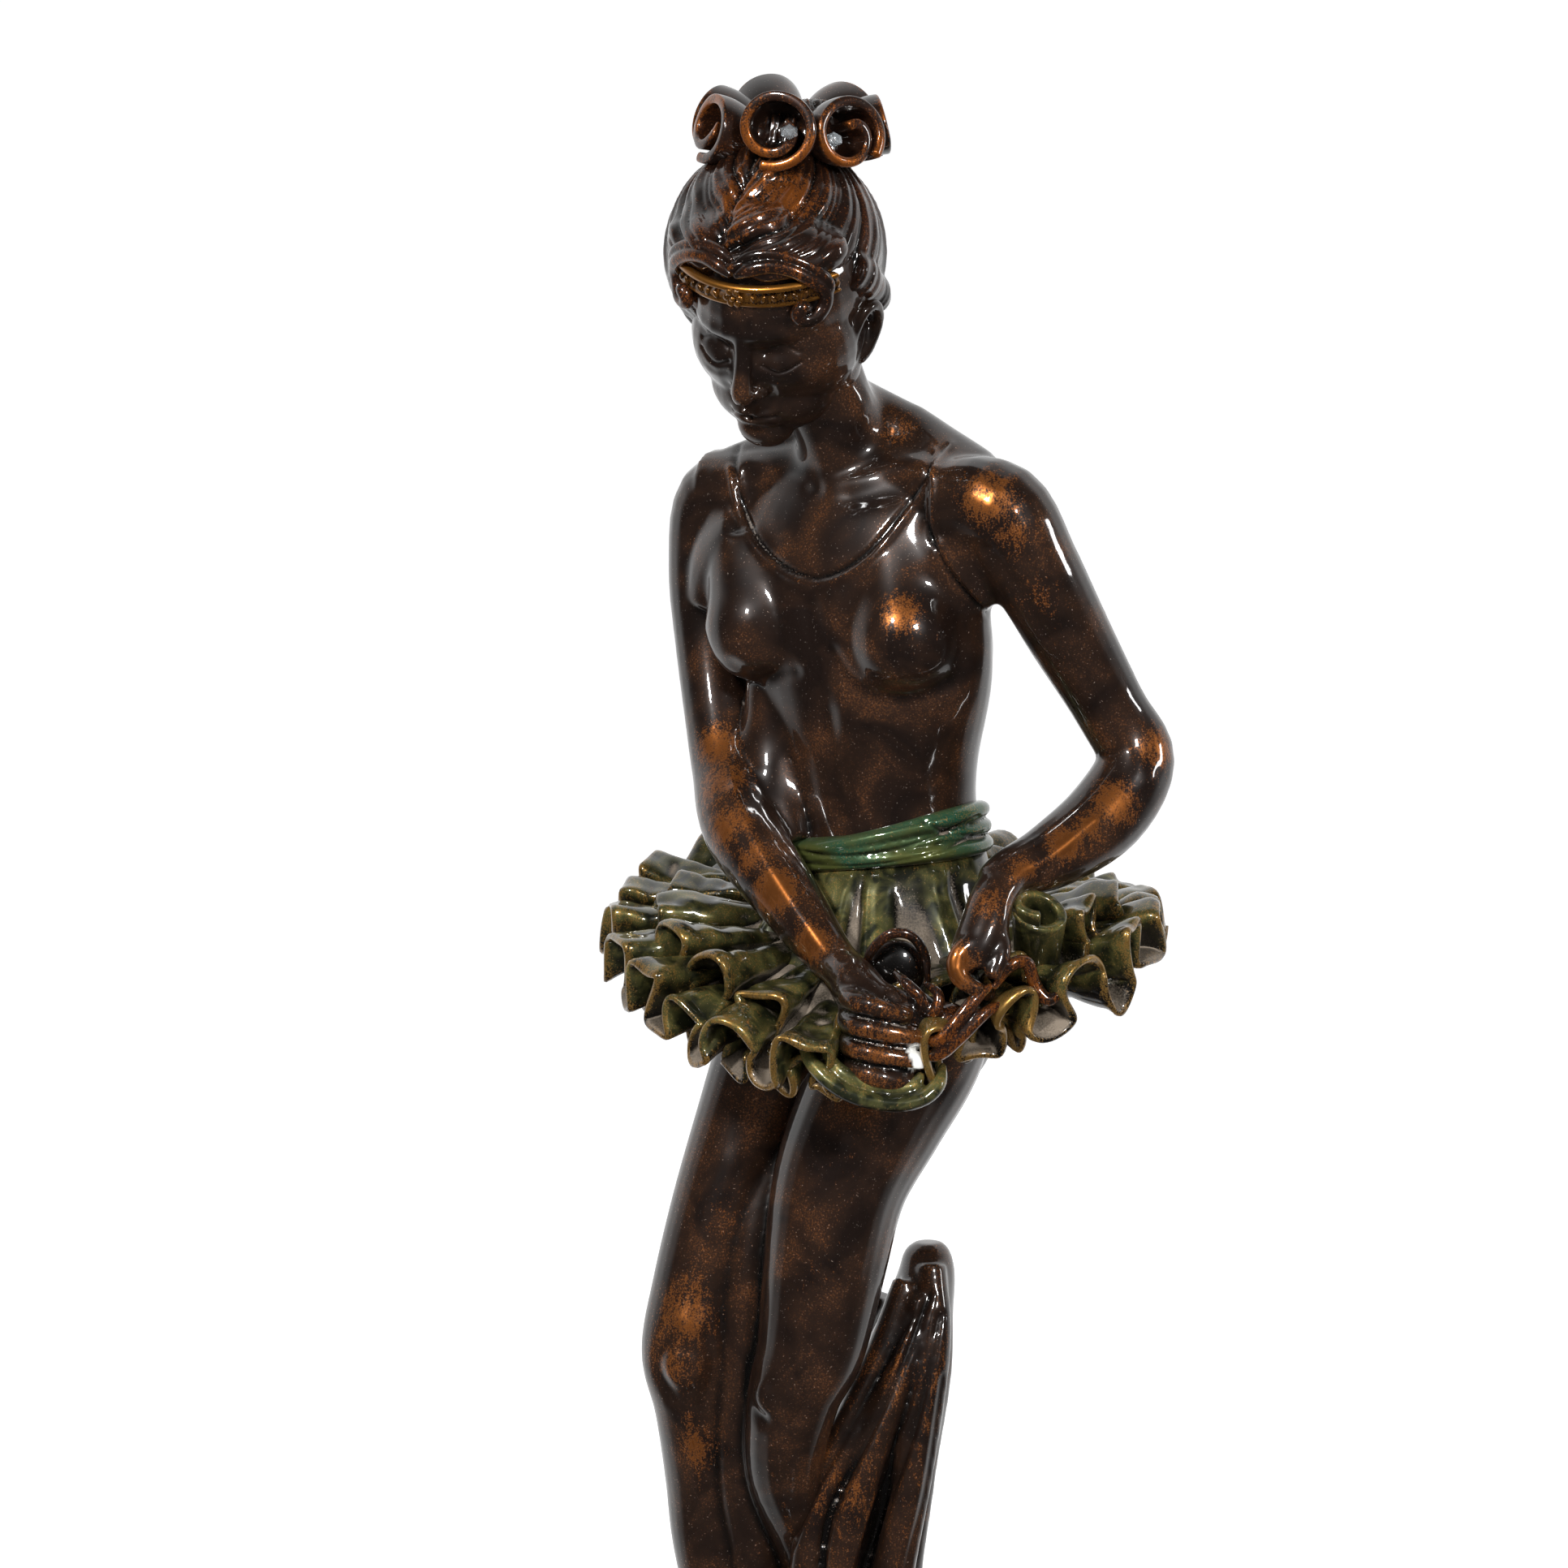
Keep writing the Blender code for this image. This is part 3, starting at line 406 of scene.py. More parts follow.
def make_figure():
    clay = bmesh.new()
    trunk(clay, TORSO)
    for x, y in ((3.6, -13.2), (-25, 4.6)):
        limb(clay, [
            (x - 2, y + 5, 291, 8), (x - 0.6, y + 1.8, 281, 9.8), (x, y - 0.8, 273, 10.9),
            (x, y + 2, 267, 8),
        ])
    for stations in (
        [(-6, 4, 304, 8), (6, -5, 303, 7.2), (20, -16, 299.5, 9)],
        [(-7, 4, 304, 8), (-18, 11, 303, 7.2), (-33, 20.5, 299, 9)],
        [(-9, 6, 322, 3), (-4, 6.6, 318, 5), (1.6, 5, 313.6, 6.2), (8, 1, 309.2, 7),
         (16, -7, 304.2, 7), (23, -14, 298, 6)],
        [(-8, 7, 318, 3), (-9, 9, 314, 5), (-14, 13, 309, 6.6), (-22, 17, 305, 7),
         (-29, 19, 302, 7)],
        [(10, -12, 292, 8), (16, -13, 287.6, 7.4), (22, -13, 282, 5)],
        [(-26, 8, 292, 8), (-31, 13, 286, 7.6), (-34, 16, 278, 6)],
        # The web of metal between her right arm and her waist
        [(-23, 8, 272, 5), (-23, 6, 262, 5), (-22.6, 3, 250, 5.4), (-21, -1, 240, 5),
         (-19, -4, 232, 4)],
        NECK, LEFT_ARM, RIGHT_ARM,
    ):
        limb(clay, stations)
    closed_hand(clay)
    pinching_hand(clay)
    figure = cast("dancer_body", clay, 0.64, 5)
    soften(figure, (
        (-8, -8, 292, 20), (5, -14, 287, 13), (-24, 2, 286, 12), (16, -12, 292, 13),
        (-28, 12, 292, 12), (21, -6, 280, 10), (-9, 0, 306, 14), (10, -3, 308, 12),
        (20, -10, 301, 10), (-4, -8, 252, 18),
        (-22, 3, 252, 9), (-21, 0, 242, 8), (-3, 6, 316, 10), (21, -4, 272, 8), (19, -6, 290, 9),
        (14, -4, 244, 10), (-15, -8, 246, 10), (19, -12, 299, 8),
    ), 70)
    soften(figure, ((4, -18, 272, 15), (-25, 0, 272, 14)), 24)
    model(figure, (
        # Leotard: neckline, straps and armhole
        ([(11.7, 311), (9.3, 308.3), (4.5, 300.8), (-1.1, 293.6), (-5.1, 289.6), (-9.9, 286.4),
          (-14.7, 285.2), (-20.3, 287), (-25.1, 291.4), (-28.3, 298), (-29.9, 304.9),
          (-29.1, 309.4)], 0.5, -0.6),
        ([(12.2, 311), (10, 308.1), (5.2, 300.2), (-0.4, 292.8), (-4.5, 288.5), (-9.6, 285.2),
          (-14.8, 284), (-20.7, 285.8), (-26.1, 290.4), (-29.4, 297.6), (-30.8, 305)], 0.7, 0.5),
        ([(8.6, 309.3), (7.6, 301.3), (8.1, 295), (10.8, 289), (14, 284.4), (17.2, 280.6),
          (20, 278)], 0.5, -0.6),
        ([(9.4, 309.3), (8.4, 301.3), (8.9, 295.2), (11.4, 289.5), (14.8, 285.1),
          (18, 281.4)], 0.7, 0.5),
        # Bust line, ribs and middle of the waist
        ([(-11, 271), (-8, 266), (-2, 262.4), (5.4, 262.4), (12, 265.4)], 2.0, -0.9),
        ([(-30.4, 267), (-25.4, 264.4), (-18.4, 266.4)], 1.8, -0.7),
        ([(-15.4, 280), (-14.2, 272), (-13, 264), (-12.4, 256)], 2.8, -0.8),
        ([(-12, 258), (-10.4, 248), (-9, 239)], 2.2, -0.5),
        ([(2, 262), (9, 254), (12, 246)], 3.0, -0.4),
        # Collar bones and the hollow between them
        ([(-11.4, 302.4), (-6, 303.8), (2, 306.8), (9, 307)], 1.8, 0.55),
        ([(-16.4, 302.6), (-22, 304.4), (-27, 306)], 1.6, 0.5),
        ([(-14, 304.6), (-13.6, 302.6)], 2.2, -0.7),
        ([(-7, 300.6), (3, 302.4)], 2.4, -0.5),
        # Neck cords
        ([(-13.6, 304.6), (-9, 312), (-4, 320)], 2.4, 0.5),
        # Arms: deltoid edge, the elbow and the tendons at the wrists
        ([(19, 292), (26, 283), (30.6, 275)], 1.6, -0.5),
        ([(47, 252), (50.4, 247)], 2.4, 0.5),
        ([(40, 239.6), (31, 233), (24, 230)], 1.1, 0.5),
        ([(-30, 243), (-24, 231), (-14, 217), (-9, 211.4)], 1.3, 0.45),
        # Knuckles and nails of the closed hand
        ([(-9, 204.6), (-4, 204), (2, 202.9), (5, 202.2)], 0.42, -0.95),
        ([(-9, 200), (-4, 199.4), (2, 198.4), (7, 197.6)], 0.42, -0.95),
        ([(-9, 195.6), (-4, 195), (2, 194), (6.6, 193.2)], 0.42, -0.95),
        ([(-7.4, 207.4), (-6.6, 205.6)], 0.9, 0.3), ([(-7.6, 203), (-6.8, 201.4)], 0.9, 0.3),
        ([(-7.6, 198.6), (-6.8, 197)], 0.9, 0.3),
    ))
    model(figure, (
        ([(-5, 296), (-3.4, 280), (-1.6, 262), (-0.4, 240)], 2.6, -1.3),
        ([(8, 294), (12, 284), (9, 274)], 2.4, 0.8),
        ([(-18, 297), (-20, 286), (-15, 276)], 2.4, 0.8),
        ([(14, 311), (11, 302), (8, 292), (2, 284), (-5, 281.6), (-12, 284.6), (-18, 293),
          (-21, 303)], 0.6, -0.4),
    ), side=(0.3, 1, 0))
    wear(figure, (
        (19, -25, 302, 6, 0.8), (24, -26, 296, 5, 0.5), (3, 0, 311, 5, 0.8),
        (3, -24, 288, 4.4, 0.9), (2, -25, 281, 5, 1.0), (5, -22, 296, 4, 0.5),
        (-33, 3, 250, 6, 0.8), (-31, -2, 242, 6, 0.95), (-30, -10, 235, 5, 1.0),
        (-26, -16, 230, 4, 0.8), (-22, -22, 225, 5, 1.0), (-15, -30, 216, 4, 0.9),
        (52, -16, 252, 5, 0.75), (44, -24, 243, 5, 0.9), (39, -28, 239, 4, 0.7),
        (34, -31, 236, 4, 0.95),
        (26, -36, 231, 3.4, 0.6), (19, -39, 224, 3.4, 0.95), (13, -45, 214, 4, 0.9),
        (-1, -46, 199, 7, 0.35), (29, -25, 282, 5, 0.35), (-38, 12, 290, 5, 0.25),
    ))
    chip(figure, (5.4, -45.4, 196.4), 2.8)
    return figure


def make_legs():
    clay = bmesh.new()
    trunk(clay, [
        (-2, 3.6, 216, 23, 18, -18), (-3, 4, 206, 27, 21, -18),
        (-3.5, 3.5, 196, 27.6, 20.6, -18), (-5, 3.5, 187, 22, 15, -18),
    ])
    ball(clay, (-13, 17, 195), (13, 12, 13.5))
    ball(clay, (9, 10.5, 193), (13, 12, 13.5))
    limb(clay, [
        (-14, 10.5, 200, 14.5), (-21, 8, 187, 13.2), (-26.5, 5, 174, 11.7), (-32, 2, 158, 10.8),
        (-36.4, -0.5, 142, 10.2), (-38.8, -3, 130, 9.8), (-37.4, -0.8, 119, 8.7),
        (-34.2, 4.4, 103, 9.8),
        (-33.4, 5.4, 90, 9.2), (-31.4, 4.4, 68, 6.6), (-30, 4, 48, 5.0), (-30, 4, 38, 5.2),
    ], 6, 28)
    ball(clay, (-39.6, -9.4, 129), (5.2, 4, 6))
    limb(clay, [
        (-28.6, 8.6, 35.8, 4.8), (-31, 2, 37, 5.7), (-34, -7, 35, 5), (-37.4, -17, 32.8, 3.6),
    ])
    limb(clay, [
        (8.2, -3.4, 204, 15), (3.4, -7, 192, 15.8), (-3, -10.6, 180, 15), (-9.2, -13, 166, 13.4),
        (-12.2, -14.6, 150, 12.2), (-14.8, -15, 134, 10.8), (-18.4, -14, 123, 9.2),
        (-19.8, -8.6, 107, 7.8), (-15, -1, 90, 6.8), (-10, 4, 72, 6),
    ], 6, 28)
    ball(clay, (-21.6, -20, 125), (4.6, 3.4, 5))
    # The web of metal left between the knees
    limb(clay, [
        (-12, 6, 188, 6), (-21, 1, 170, 6.6), (-26, -5, 150, 6), (-28, -6, 128, 6),
        (-28, -3, 106, 6), (-26, 0, 88, 5.4), (-25, 2, 70, 5), (-24, 3, 50, 4),
    ])
    legs = cast("dancer_legs", clay, 0.62, 5)
    model(legs, (
        # Kneecaps and the hollows beside them
        ([(-42.4, 136), (-45.4, 129), (-42, 122)], 1.4, -0.55),
        ([(-35.6, 135), (-34.4, 128), (-36.4, 121)], 1.4, -0.5),
        ([(-26.4, 130), (-27.4, 124), (-24, 119.4)], 1.3, -0.5),
        ([(-17.6, 130), (-16.4, 124.4), (-19, 119.8)], 1.3, -0.5),
        # Shin and thigh planes
        ([(-39, 118), (-36.6, 104), (-34, 84), (-32, 62)], 1.8, 0.6),
        ([(-30, 168), (-36, 150), (-38.6, 138)], 4.0, 0.5),
        ([(-6, 178), (-14, 152), (-18.6, 134)], 4.0, 0.5),
        ([(12, 186), (4, 168), (-3, 150)], 3.0, -0.5),
        ([(-22.4, 117), (-22, 106), (-18.6, 96)], 1.5, 0.5),
        # Slipper edge and ribbons
        ([(-36, 37.4), (-31, 35.4), (-26, 38)], 0.6, -0.4),
        ([(-36.4, 47), (-30, 50), (-24.4, 48)], 0.7, 0.4),
        ([(-36.4, 52), (-30, 47), (-24.4, 54)], 0.7, 0.4),
    ))
    model(legs, (
        ([(-2.4, 202), (-2.2, 190), (-4, 182)], 1.6, -1.6),
        ([(-24, 183), (-14, 180.6), (-6, 183)], 2, -0.8),
        ([(12, 182), (4, 179.4), (-2, 182)], 2, -0.8),
    ), side=(0, 1, 0))
    wear(legs, (
        (-40, -11, 140, 8, 0.6), (-43, -11, 130, 6, 0.45), (-37, -8, 112, 6, 0.55),
        (-32, -8, 158, 8, 0.25),
        (13, -22, 187, 7, 0.3), (-14, -26, 150, 9, 0.15), (-8, -24, 172, 9, 0.15),
    ))
    return legs


# The head, in its own frame: the face looks to -Y, the chin is at Z -26 and the crown at Z 24

def from_head(points):
    inverse = np.array(HEAD.inverted())
    return points @ inverse[:3, :3].T + inverse[:3, 3]


def in_head(*place):
    return tuple(HEAD @ Vector(place))


def make_head():
    clay = bmesh.new()
    ball(clay, (0, 4, 6), (17.2, 21.5, 18.5))
    ball(clay, (0, -2.6, -3.4), (17, 14.8, 16))
    ball(clay, (0, -5.6, -12.2), (13.2, 11, 9.8))
    ball(clay, (0, -12, -18.6), (5.8, 4.8, 4.6))
    limb(clay, [
        (0, -14.6, 6, 2.2), (0, -16.7, 1.4, 1.8), (0, -18.2, -3, 1.8), (0, -19.6, -6.8, 2.1),
        (0, -18.4, -8.6, 1.6),
    ])
    ball(clay, (0, -14.4, -13.6), (6, 3, 4.2))
    for side in (-1, 1):
        ball(clay, (side * 11, -0.8, -10.4), (4.6, 6.4, 7.4))
        ball(clay, (side * 2.4, -16.8, -7.6), (1.7, 2.2, 1.5))
        limb(clay, [
            (side * 14.8, -0.4, -6.6, 1.1), (side * 16, -0.6, -2.4, 1.2),
            (side * 17.6, 1.6, 1.4, 1.3),
            (side * 18.4, 5, 1, 1.3), (side * 17.8, 6, -3.6, 1.3), (side * 16.2, 3.4, -8, 1.5),
            (side * 15, 1.2, -9.6, 1.5),
        ], 5, 14)
        ball(clay, (side * 15.2, 3, -3.4), (1.4, 3.2, 5))
    move(clay, clay.verts, HEAD)
    head = cast("dancer_head", clay, 0.36, 12)
    press(head, (
        (6.8, 0.2, 3.8, 2.5, -2.1), (3.4, 1, 1.6, 2.0, -0.7),  # eye sockets
        (7, -0.6, 3.0, 2.0, 1.6),  # eyes under their lids
        (7, 5, 5.4, 1.6, 0.7), (0, 5.6, 3, 2, 0.3),  # brows
        (9.4, -4.6, 3.4, 2.6, 0.5),  # cheekbones
        (9.6, -10, 2.8, 3.4, -0.5),  # cheeks
        (4.6, -8, 1.4, 2.2, -0.4),  # beside the nostrils
        (0, -10.4, 1.0, 1.4, -0.35),  # between nose and lip
        (0, -16.5, 3.6, 1.1, -0.8),  # under the lip
    ), HEAD)
    press(head, (
        (1.5, -12.4, 1.3, 0.75, 0.8), (3, -12.7, 1.7, 0.75, 0.5),  # upper lip
        (0, -14.4, 2.9, 1.0, 0.95), (2.2, -14.3, 1.6, 0.8, 0.2),  # lower lip
    ), HEAD)
    points, normals = points_of(head)
    local = from_head(points)
    turn = np.array(HEAD)[:3, :3]
    lift = np.zeros(len(points))
    front = facing(normals, -turn[:, 1])
    for path, width, height in (
        ([(3.8, 0.6), (7, 2.2), (10.6, 0.6)], 0.45, -0.35),  # crease over the lid
        ([(3.6, -1.6), (7, -2.9), (10.8, -1.4)], 0.36, -0.5),  # closed lashes
        ([(4.2, -4), (7, -4.8), (9.6, -4)], 0.7, -0.12),  # under the eye
        ([(3.4, -6.6), (4, -7.8), (3.5, -9.2)], 0.45, -0.4),  # round the nostril
        ([(1.5, -9.4), (2, -9.2)], 0.5, -0.5),  # nostril
        ([(0, -13.4), (2.4, -13.2), (4.8, -13.7)], 0.32, -0.5),  # between the lips
        ([(4.9, -13.3), (5.1, -14.1)], 0.7, -0.35),  # corner of the mouth
    ):
        for mirror in (-1, 1):
            across = [(mirror * x, z) for x, z in path]
            near = distance_to(local[:, [0, 2]], np.array(smooth_rows(across, 6)))
            lift += height * np.exp(-((near / width) ** 2)) * front
    ears = np.exp(-(((local - np.array([16.8, 2.8, -2])) / (2.0, 1.9, 3.2)) ** 2).sum(1))
    lift -= 1.0 * ears
    set_points(head, points + lift[:, None] * normals)
    wear(
        head, ((*in_head(9, -14, -5), 5, 0.15), (*in_head(0, -17, 9), 7, 0.12)), passes=10,
        reach=0.7,
    )
    return head


# The hair

HAIR_HEART = Vector((-21.6, -1.5, 347))
KNOT_FOOT = Vector((-18.9, 0.6, 369))
BAND_MIDDLE = 6.7  # Y of the middle of the band's oval, in the head's frame
BAND_LEVEL = 14  # and its Z


def make_hair():
    """Hair swept up from a centre parting to the topknot, with its locks and strands."""
    clay = bmesh.new()
    ball(clay, (-21.9, -2, 348.3), (21.6, 21.6, 21.6))
    for x, y, z in ((-7, -8, 19.4), (7, -8, 19.4), (-12, -4.4, 18), (12, -4.4, 18), (0, -5, 22)):
        ball(clay, in_head(x, y, z + 0.8), (7.6, 6.2, 4.6), HEAD.to_3x3().to_4x4())
    limb(clay, [
        (*in_head(*over_hair(x, 18.6, -1.3)), 2.6) for x in (-15.6, -11, -5.6, 0, 5.6, 11, 15.6)
    ], 3)
    limb(clay, [
        (-21, -2, 358, 17), (-19.5, 0.5, 366, 12.4), (-18.7, 1, 373, 11), (-18.7, 1.4, 377, 8),
    ])
    for stations in (
        [(12.6, 8, -4, 3), (9, 15, -6, 3.8), (2, 20, -6, 4.4), (-9, 20, -5, 4)],
        [(14.4, 2, 11, 4.6), (15, 8, 4, 4.2), (14.4, 12, -3, 3.4)],
        [(-15.6, 2, 11, 4.6), (-17, 8, 4, 4.4), (-16, 14, -3, 4)],
    ):
        limb(clay, [(*in_head(*place), radius) for *place, radius in stations])
    hair = cast("swept_hair", clay, 0.42, 8)
    soften(hair, (
        (*in_head(-8, -12, 21), 13), (*in_head(8, -12, 21), 13), (*in_head(-15, -4, 19), 10),
        (*in_head(15, -4, 19), 10),
    ), 80)
    points, normals = points_of(hair)
    axis = np.array((KNOT_FOOT - HAIR_HEART).normalized())
    local = points - np.array(HAIR_HEART)
    rise = local @ axis
    flat = local - rise[:, None] * axis
    ahead = np.array(HEAD.to_3x3() @ Vector((0, -1, 0)))
    ahead = ahead - (ahead @ axis) * axis
    ahead /= np.linalg.norm(ahead)
    left = np.cross(axis, ahead)
    angle = np.arctan2(flat @ left, flat @ ahead)
    # In front the strands leave the parting as veins leave a leaf's rib; behind they run
    # straight to the knot
    climb = np.clip((rise + 14) / 36, 0, 1)
    near_front = np.exp(-np.abs(angle) * 0.9)
    veined = np.exp(-((np.abs(angle) / 1.2) ** 2))
    drift, drift2 = (
        np.array([
            noise.noise(Vector((tight * math.cos(a), tight * math.sin(a), c * 2.4 + seed)))
            for a, c in zip(angle, climb)
        ])
        for tight, seed in ((2.2, 0), (7, 9))
    )
    course = (
        20 * np.abs(angle) - 40 * (climb - 0.5) * veined + 3 * drift * np.sign(angle)
        + 0.6 * drift2
    )
    locks = np.abs(np.sin(0.34 * course + 0.6 * np.sign(angle)))
    strands = np.abs(np.sin(0.86 * course))
    fine = np.abs(np.sin(2.1 * course + drift2))
    depth = 0.6 + 0.7 * near_front
    lift = depth * (1.0 * (locks ** 0.7 - 0.7) + 0.5 * (strands - 0.6)) + 0.14 * (fine - 0.6)
    parting = np.exp(-((angle / 0.05) ** 2)) * np.clip((climb - 0.1) * 5, 0, 1)
    lift -= 1.5 * parting * (climb < 0.95)
    set_points(hair, points + lift[:, None] * normals)
    wear(hair, (
        (-29, -22, 361, 7, 0.6), (-20, -20, 360, 7, 0.62), (-27, -22, 354, 5, 0.42),
        (-14, -17, 357, 5, 0.35), (-37, -12, 356, 5, 0.2),
    ), passes=16, reach=0.45)
    return hair


def over_hair(x, z, out=0.0):
    """A point over the band and the front of the hair, at those places across and up the head."""
    depth = math.sqrt(max(0.05, 1 - (x / 21.6) ** 2))
    return (x, BAND_MIDDLE - 23 * depth + 0.32 * max(0.0, z - 16) ** 1.35 - out, z)


def make_temple_scrolls():
    """At each temple two locks that run from the parting over the band and roll into a scroll."""
    made = []
    for name, side in (("temple_scroll_right", -1), ("temple_scroll_left", 1)):
        clay = bmesh.new()
        for row, (rise, thick) in enumerate(((0.0, 1.45), (1.9, 1.2))):
            path = [
                (0.4, 18.4 + 1.2 * rise), (3, 19.6 + 1.1 * rise), (7, 20.2 + rise),
                (11, 19.2 + rise * 0.9),
                (14.4 + 0.3 * rise, 16.6 + rise * 0.8), (16 + 0.35 * rise, 13.4 + 0.6 * rise),
                (15.8 + 0.3 * rise, 10.6 + 0.5 * rise),
            ]
            if row == 0:
                path += [(14.6, 8.8), (12.6, 8.8), (11.9, 10.4), (13, 11.6), (14.1, 10.8)]
            last = len(path) - 1
            limb(clay, [
                (*over_hair(side * x, z, 0.9 - 0.1 * row + (0.9 if i > 6 else 0)),
                 thick * (0.45 if i in (0, last) else 1.0))
                for i, (x, z) in enumerate(path)
            ], 5, 14)
        move(clay, clay.verts, HEAD)
        scroll = cast(name, clay, 0.3, 3)
        wear(scroll, ((*in_head(side * 12, -15, 18), 7, 0.35),), passes=8, reach=0.25)
        made.append(scroll)
    return made


def make_band():
    """The flat metal band over the forehead, with a small rosette and chased marks."""
    clay = bmesh.new()
    matrices = [
        Matrix.Translation((0, BAND_MIDDLE, BAND_LEVEL + z))
        @ Matrix.Diagonal((r + 0.2, r + 1.5, 1, 1))
        for z, r in (
            (-0.3, 19.2), (-2.3, 20.6), (-2.4, 21.2), (-2.1, 21.9), (-1.5, 22.2), (-1.1, 21.8),
            (0, 22.1), (1.1, 21.8), (1.5, 22.2), (2.1, 21.9), (2.4, 21.2), (2.2, 20.6), (0.3, 19.2),
        )
    ]
    loft(clay, matrices, 220)
    bmesh.ops.bisect_plane(
        clay, geom=[*clay.verts, *clay.edges, *clay.faces], plane_co=(0, -7, 0),
        plane_no=(0, 1, 0), clear_outer=True,
    )
    bmesh.ops.holes_fill(clay, edges=clay.edges)
    for i in range(-9, 10):
        if abs(i) < 2:
            continue
        angle = math.radians(5.2 * i)
        mark = Matrix.Translation(
            (22.4 * math.sin(angle), BAND_MIDDLE - 23.7 * math.cos(angle), BAND_LEVEL)
        )
        slant = 28 if i % 2 else -28
        ball(clay, (0, 0, 0), (0.5, 0.5, 0.9), mark @ turned(5.2 * i, "Z") @ turned(slant, "Y"))
    for i in range(6):
        petal = math.radians(60 * i)
        place = (1.4 * math.cos(petal), -17.1, BAND_LEVEL + 1.4 * math.sin(petal))
        ball(clay, place, (0.8, 0.5, 0.8))
    ball(clay, (0, -17.4, BAND_LEVEL), (0.6, 0.6, 0.6))
    move(clay, clay.verts, HEAD)
    band = piece_from("forehead_band", clay)
    baked(band)
    wear(band, ((*in_head(0, -19, 12.4), 15, 0.36),), passes=4, reach=0.2)
    return band


CURLS = (
    # angle, ring radius, height, curl radius, length, turns, start, lean
    (-101, 13.4, -0.8, 7.7, 9.6, 1.42, -128, -14),
    (-48, 13.6, -2.2, 7.4, 9.6, 1.42, -70, -12),
    (-160, 13.4, -2.6, 6.6, 9.6, 1.4, -118, -14),
    (2, 13.4, -3.2, 6.8, 9.6, 1.3, -80, -8),
    (52, 12.6, -2.6, 6.6, 9.6, 1.35, -60, -10),
    (104, 12.6, -2.2, 6.6, 9.6, 1.35, -120, -10),
    (150, 12.8, -2.6, 6.4, 9.6, 1.3, -70, -12),
)


def make_curls():
    """Rolled ribbons of hair round the topknot, each with its open end outwards and up."""
    made = []
    for number, (angle, ring, height, size, length, turns, start, lean) in enumerate(CURLS, 1):
        clay = bmesh.new()
        lip = clay.verts.layers.float.new("lip")
        bmesh.ops.create_grid(clay, x_segments=64, y_segments=14, size=0.5)
        for vert in clay.verts:
            t, across = vert.co.x + 0.5, vert.co.y + 0.5
            bulge = 0.66 + 0.4 * math.sin(min(1.0, across * 1.15) * math.pi / 2)
            radius = (size - 0.9) * (1 - 0.72 * max(0.0, t - 0.42) / 0.58) * bulge / 1.04
            radius += 0.4 * math.sin(7 * t + 2 * number)
            sweep = math.radians(start + 360 * turns * t + 20 * across)
            wave = 0.9 * math.sin(6.3 * t + number) - 3.4 * max(0.0, t - 0.55)
            vert.co = (
                length * (across - 0.5) + wave * across, radius * math.cos(sweep) * 1.08,
                radius * math.sin(sweep),
            )
            edge = math.exp(-(((1 - across) / 0.12) ** 2))
            vert[lip] = 0.32 * edge * (1 + 0.9 * math.sin(11 * t + number))
        place = (
            TOPKNOT @ turned(angle, "Z") @ Matrix.Translation((ring, 0, height)) @ turned(lean, "Y")
        )
        curl = piece_from(f"topknot_roll_{number}", clay, FIGURE @ place)
        thicken(curl, 2.0, 2)
        wear(curl, (), passes=14, reach=0.4)
        made.append(curl)
    return made


def make_knot_heart():
    """The dark mass of hair that the rolls are wound on."""
    clay = bmesh.new()
    middle_x, middle_y = -18.7, 1.2
    ball(clay, (middle_x, middle_y, 371.2), (11.6, 11.6, 6))
    for i in range(7):
        angle = math.radians(-126 + 51.4 * i)
        inner, outer = (
            (middle_x + r * math.cos(angle), middle_y + r * math.sin(angle)) for r in (5, 11.5)
        )
        rope(clay, [(*inner, 375), (*outer, 371.4), (*outer, 365.6)], 2.5)
    heart = cast("topknot_heart", clay, 0.5, 3)
    wear(heart)
    return heart


def make_stones():
    """Two clear faceted stones glued to the lower lips of the front rolls."""
    made = []
    for number, (x, y, z) in enumerate(((-19.2, -17.6, 372.0), (-10.6, -13.6, 370.4)), 1):
        clay = bmesh.new()
        bmesh.ops.create_icosphere(
            clay, subdivisions=1, radius=1.9,
            matrix=Matrix.Translation((x, y, z)) @ turned(20 * number, "Z")
            @ Matrix.Diagonal((1, 1, 0.8, 1)),
        )
        made.append(piece_from(f"clear_stone_{number}", clay))
    return made


# The sash, the yoke and the tutu

def make_sash():
    """Three twisted bands round the waist, rising to her left."""
    clay = bmesh.new()
    for level, size, swing in ((-2.4, 2.0, 0.5), (0.1, 1.75, -0.4), (2.6, 2.2, 0.6)):
        path = []
        for i in range(49):
            angle = math.radians(7.5 * i)
            wobble = swing * math.sin(2 * angle + level)
            path.append((
                20.9 * math.cos(angle), 16.5 * math.sin(angle),
                level + wobble + 0.9 * math.cos(angle - 0.3) * level / 3,
                size * (1 + 0.12 * math.sin(3 * angle + level)),
            ))
        limb(clay, path, 2, 18, 0.8)
    core = Matrix.Diagonal((20.4, 16, 1, 1))
    loft(clay, [Matrix.Translation((0, 0, z)) @ core for z in (-3.6, 0, 3.6)], 64)
    move(clay, clay.verts, WAIST)
    sash = cast("waist_sash_bands", clay, 0.42, 3)
    model(sash, (
        ([(-22, 231.6), (-10, 230.6), (4, 233), (18, 238)], 0.35, -0.5),
        ([(-22, 228.8), (-8, 228.6), (6, 230.8), (20, 235)], 0.3, -0.35),
        ([(4, 241), (10, 236), (19, 233.5)], 0.5, -0.5),
        ([(-8, 235), (2, 236.8), (12, 239)], 0.4, -0.3),
    ))
    wear(sash, (), passes=10, reach=0.3)
    return sash


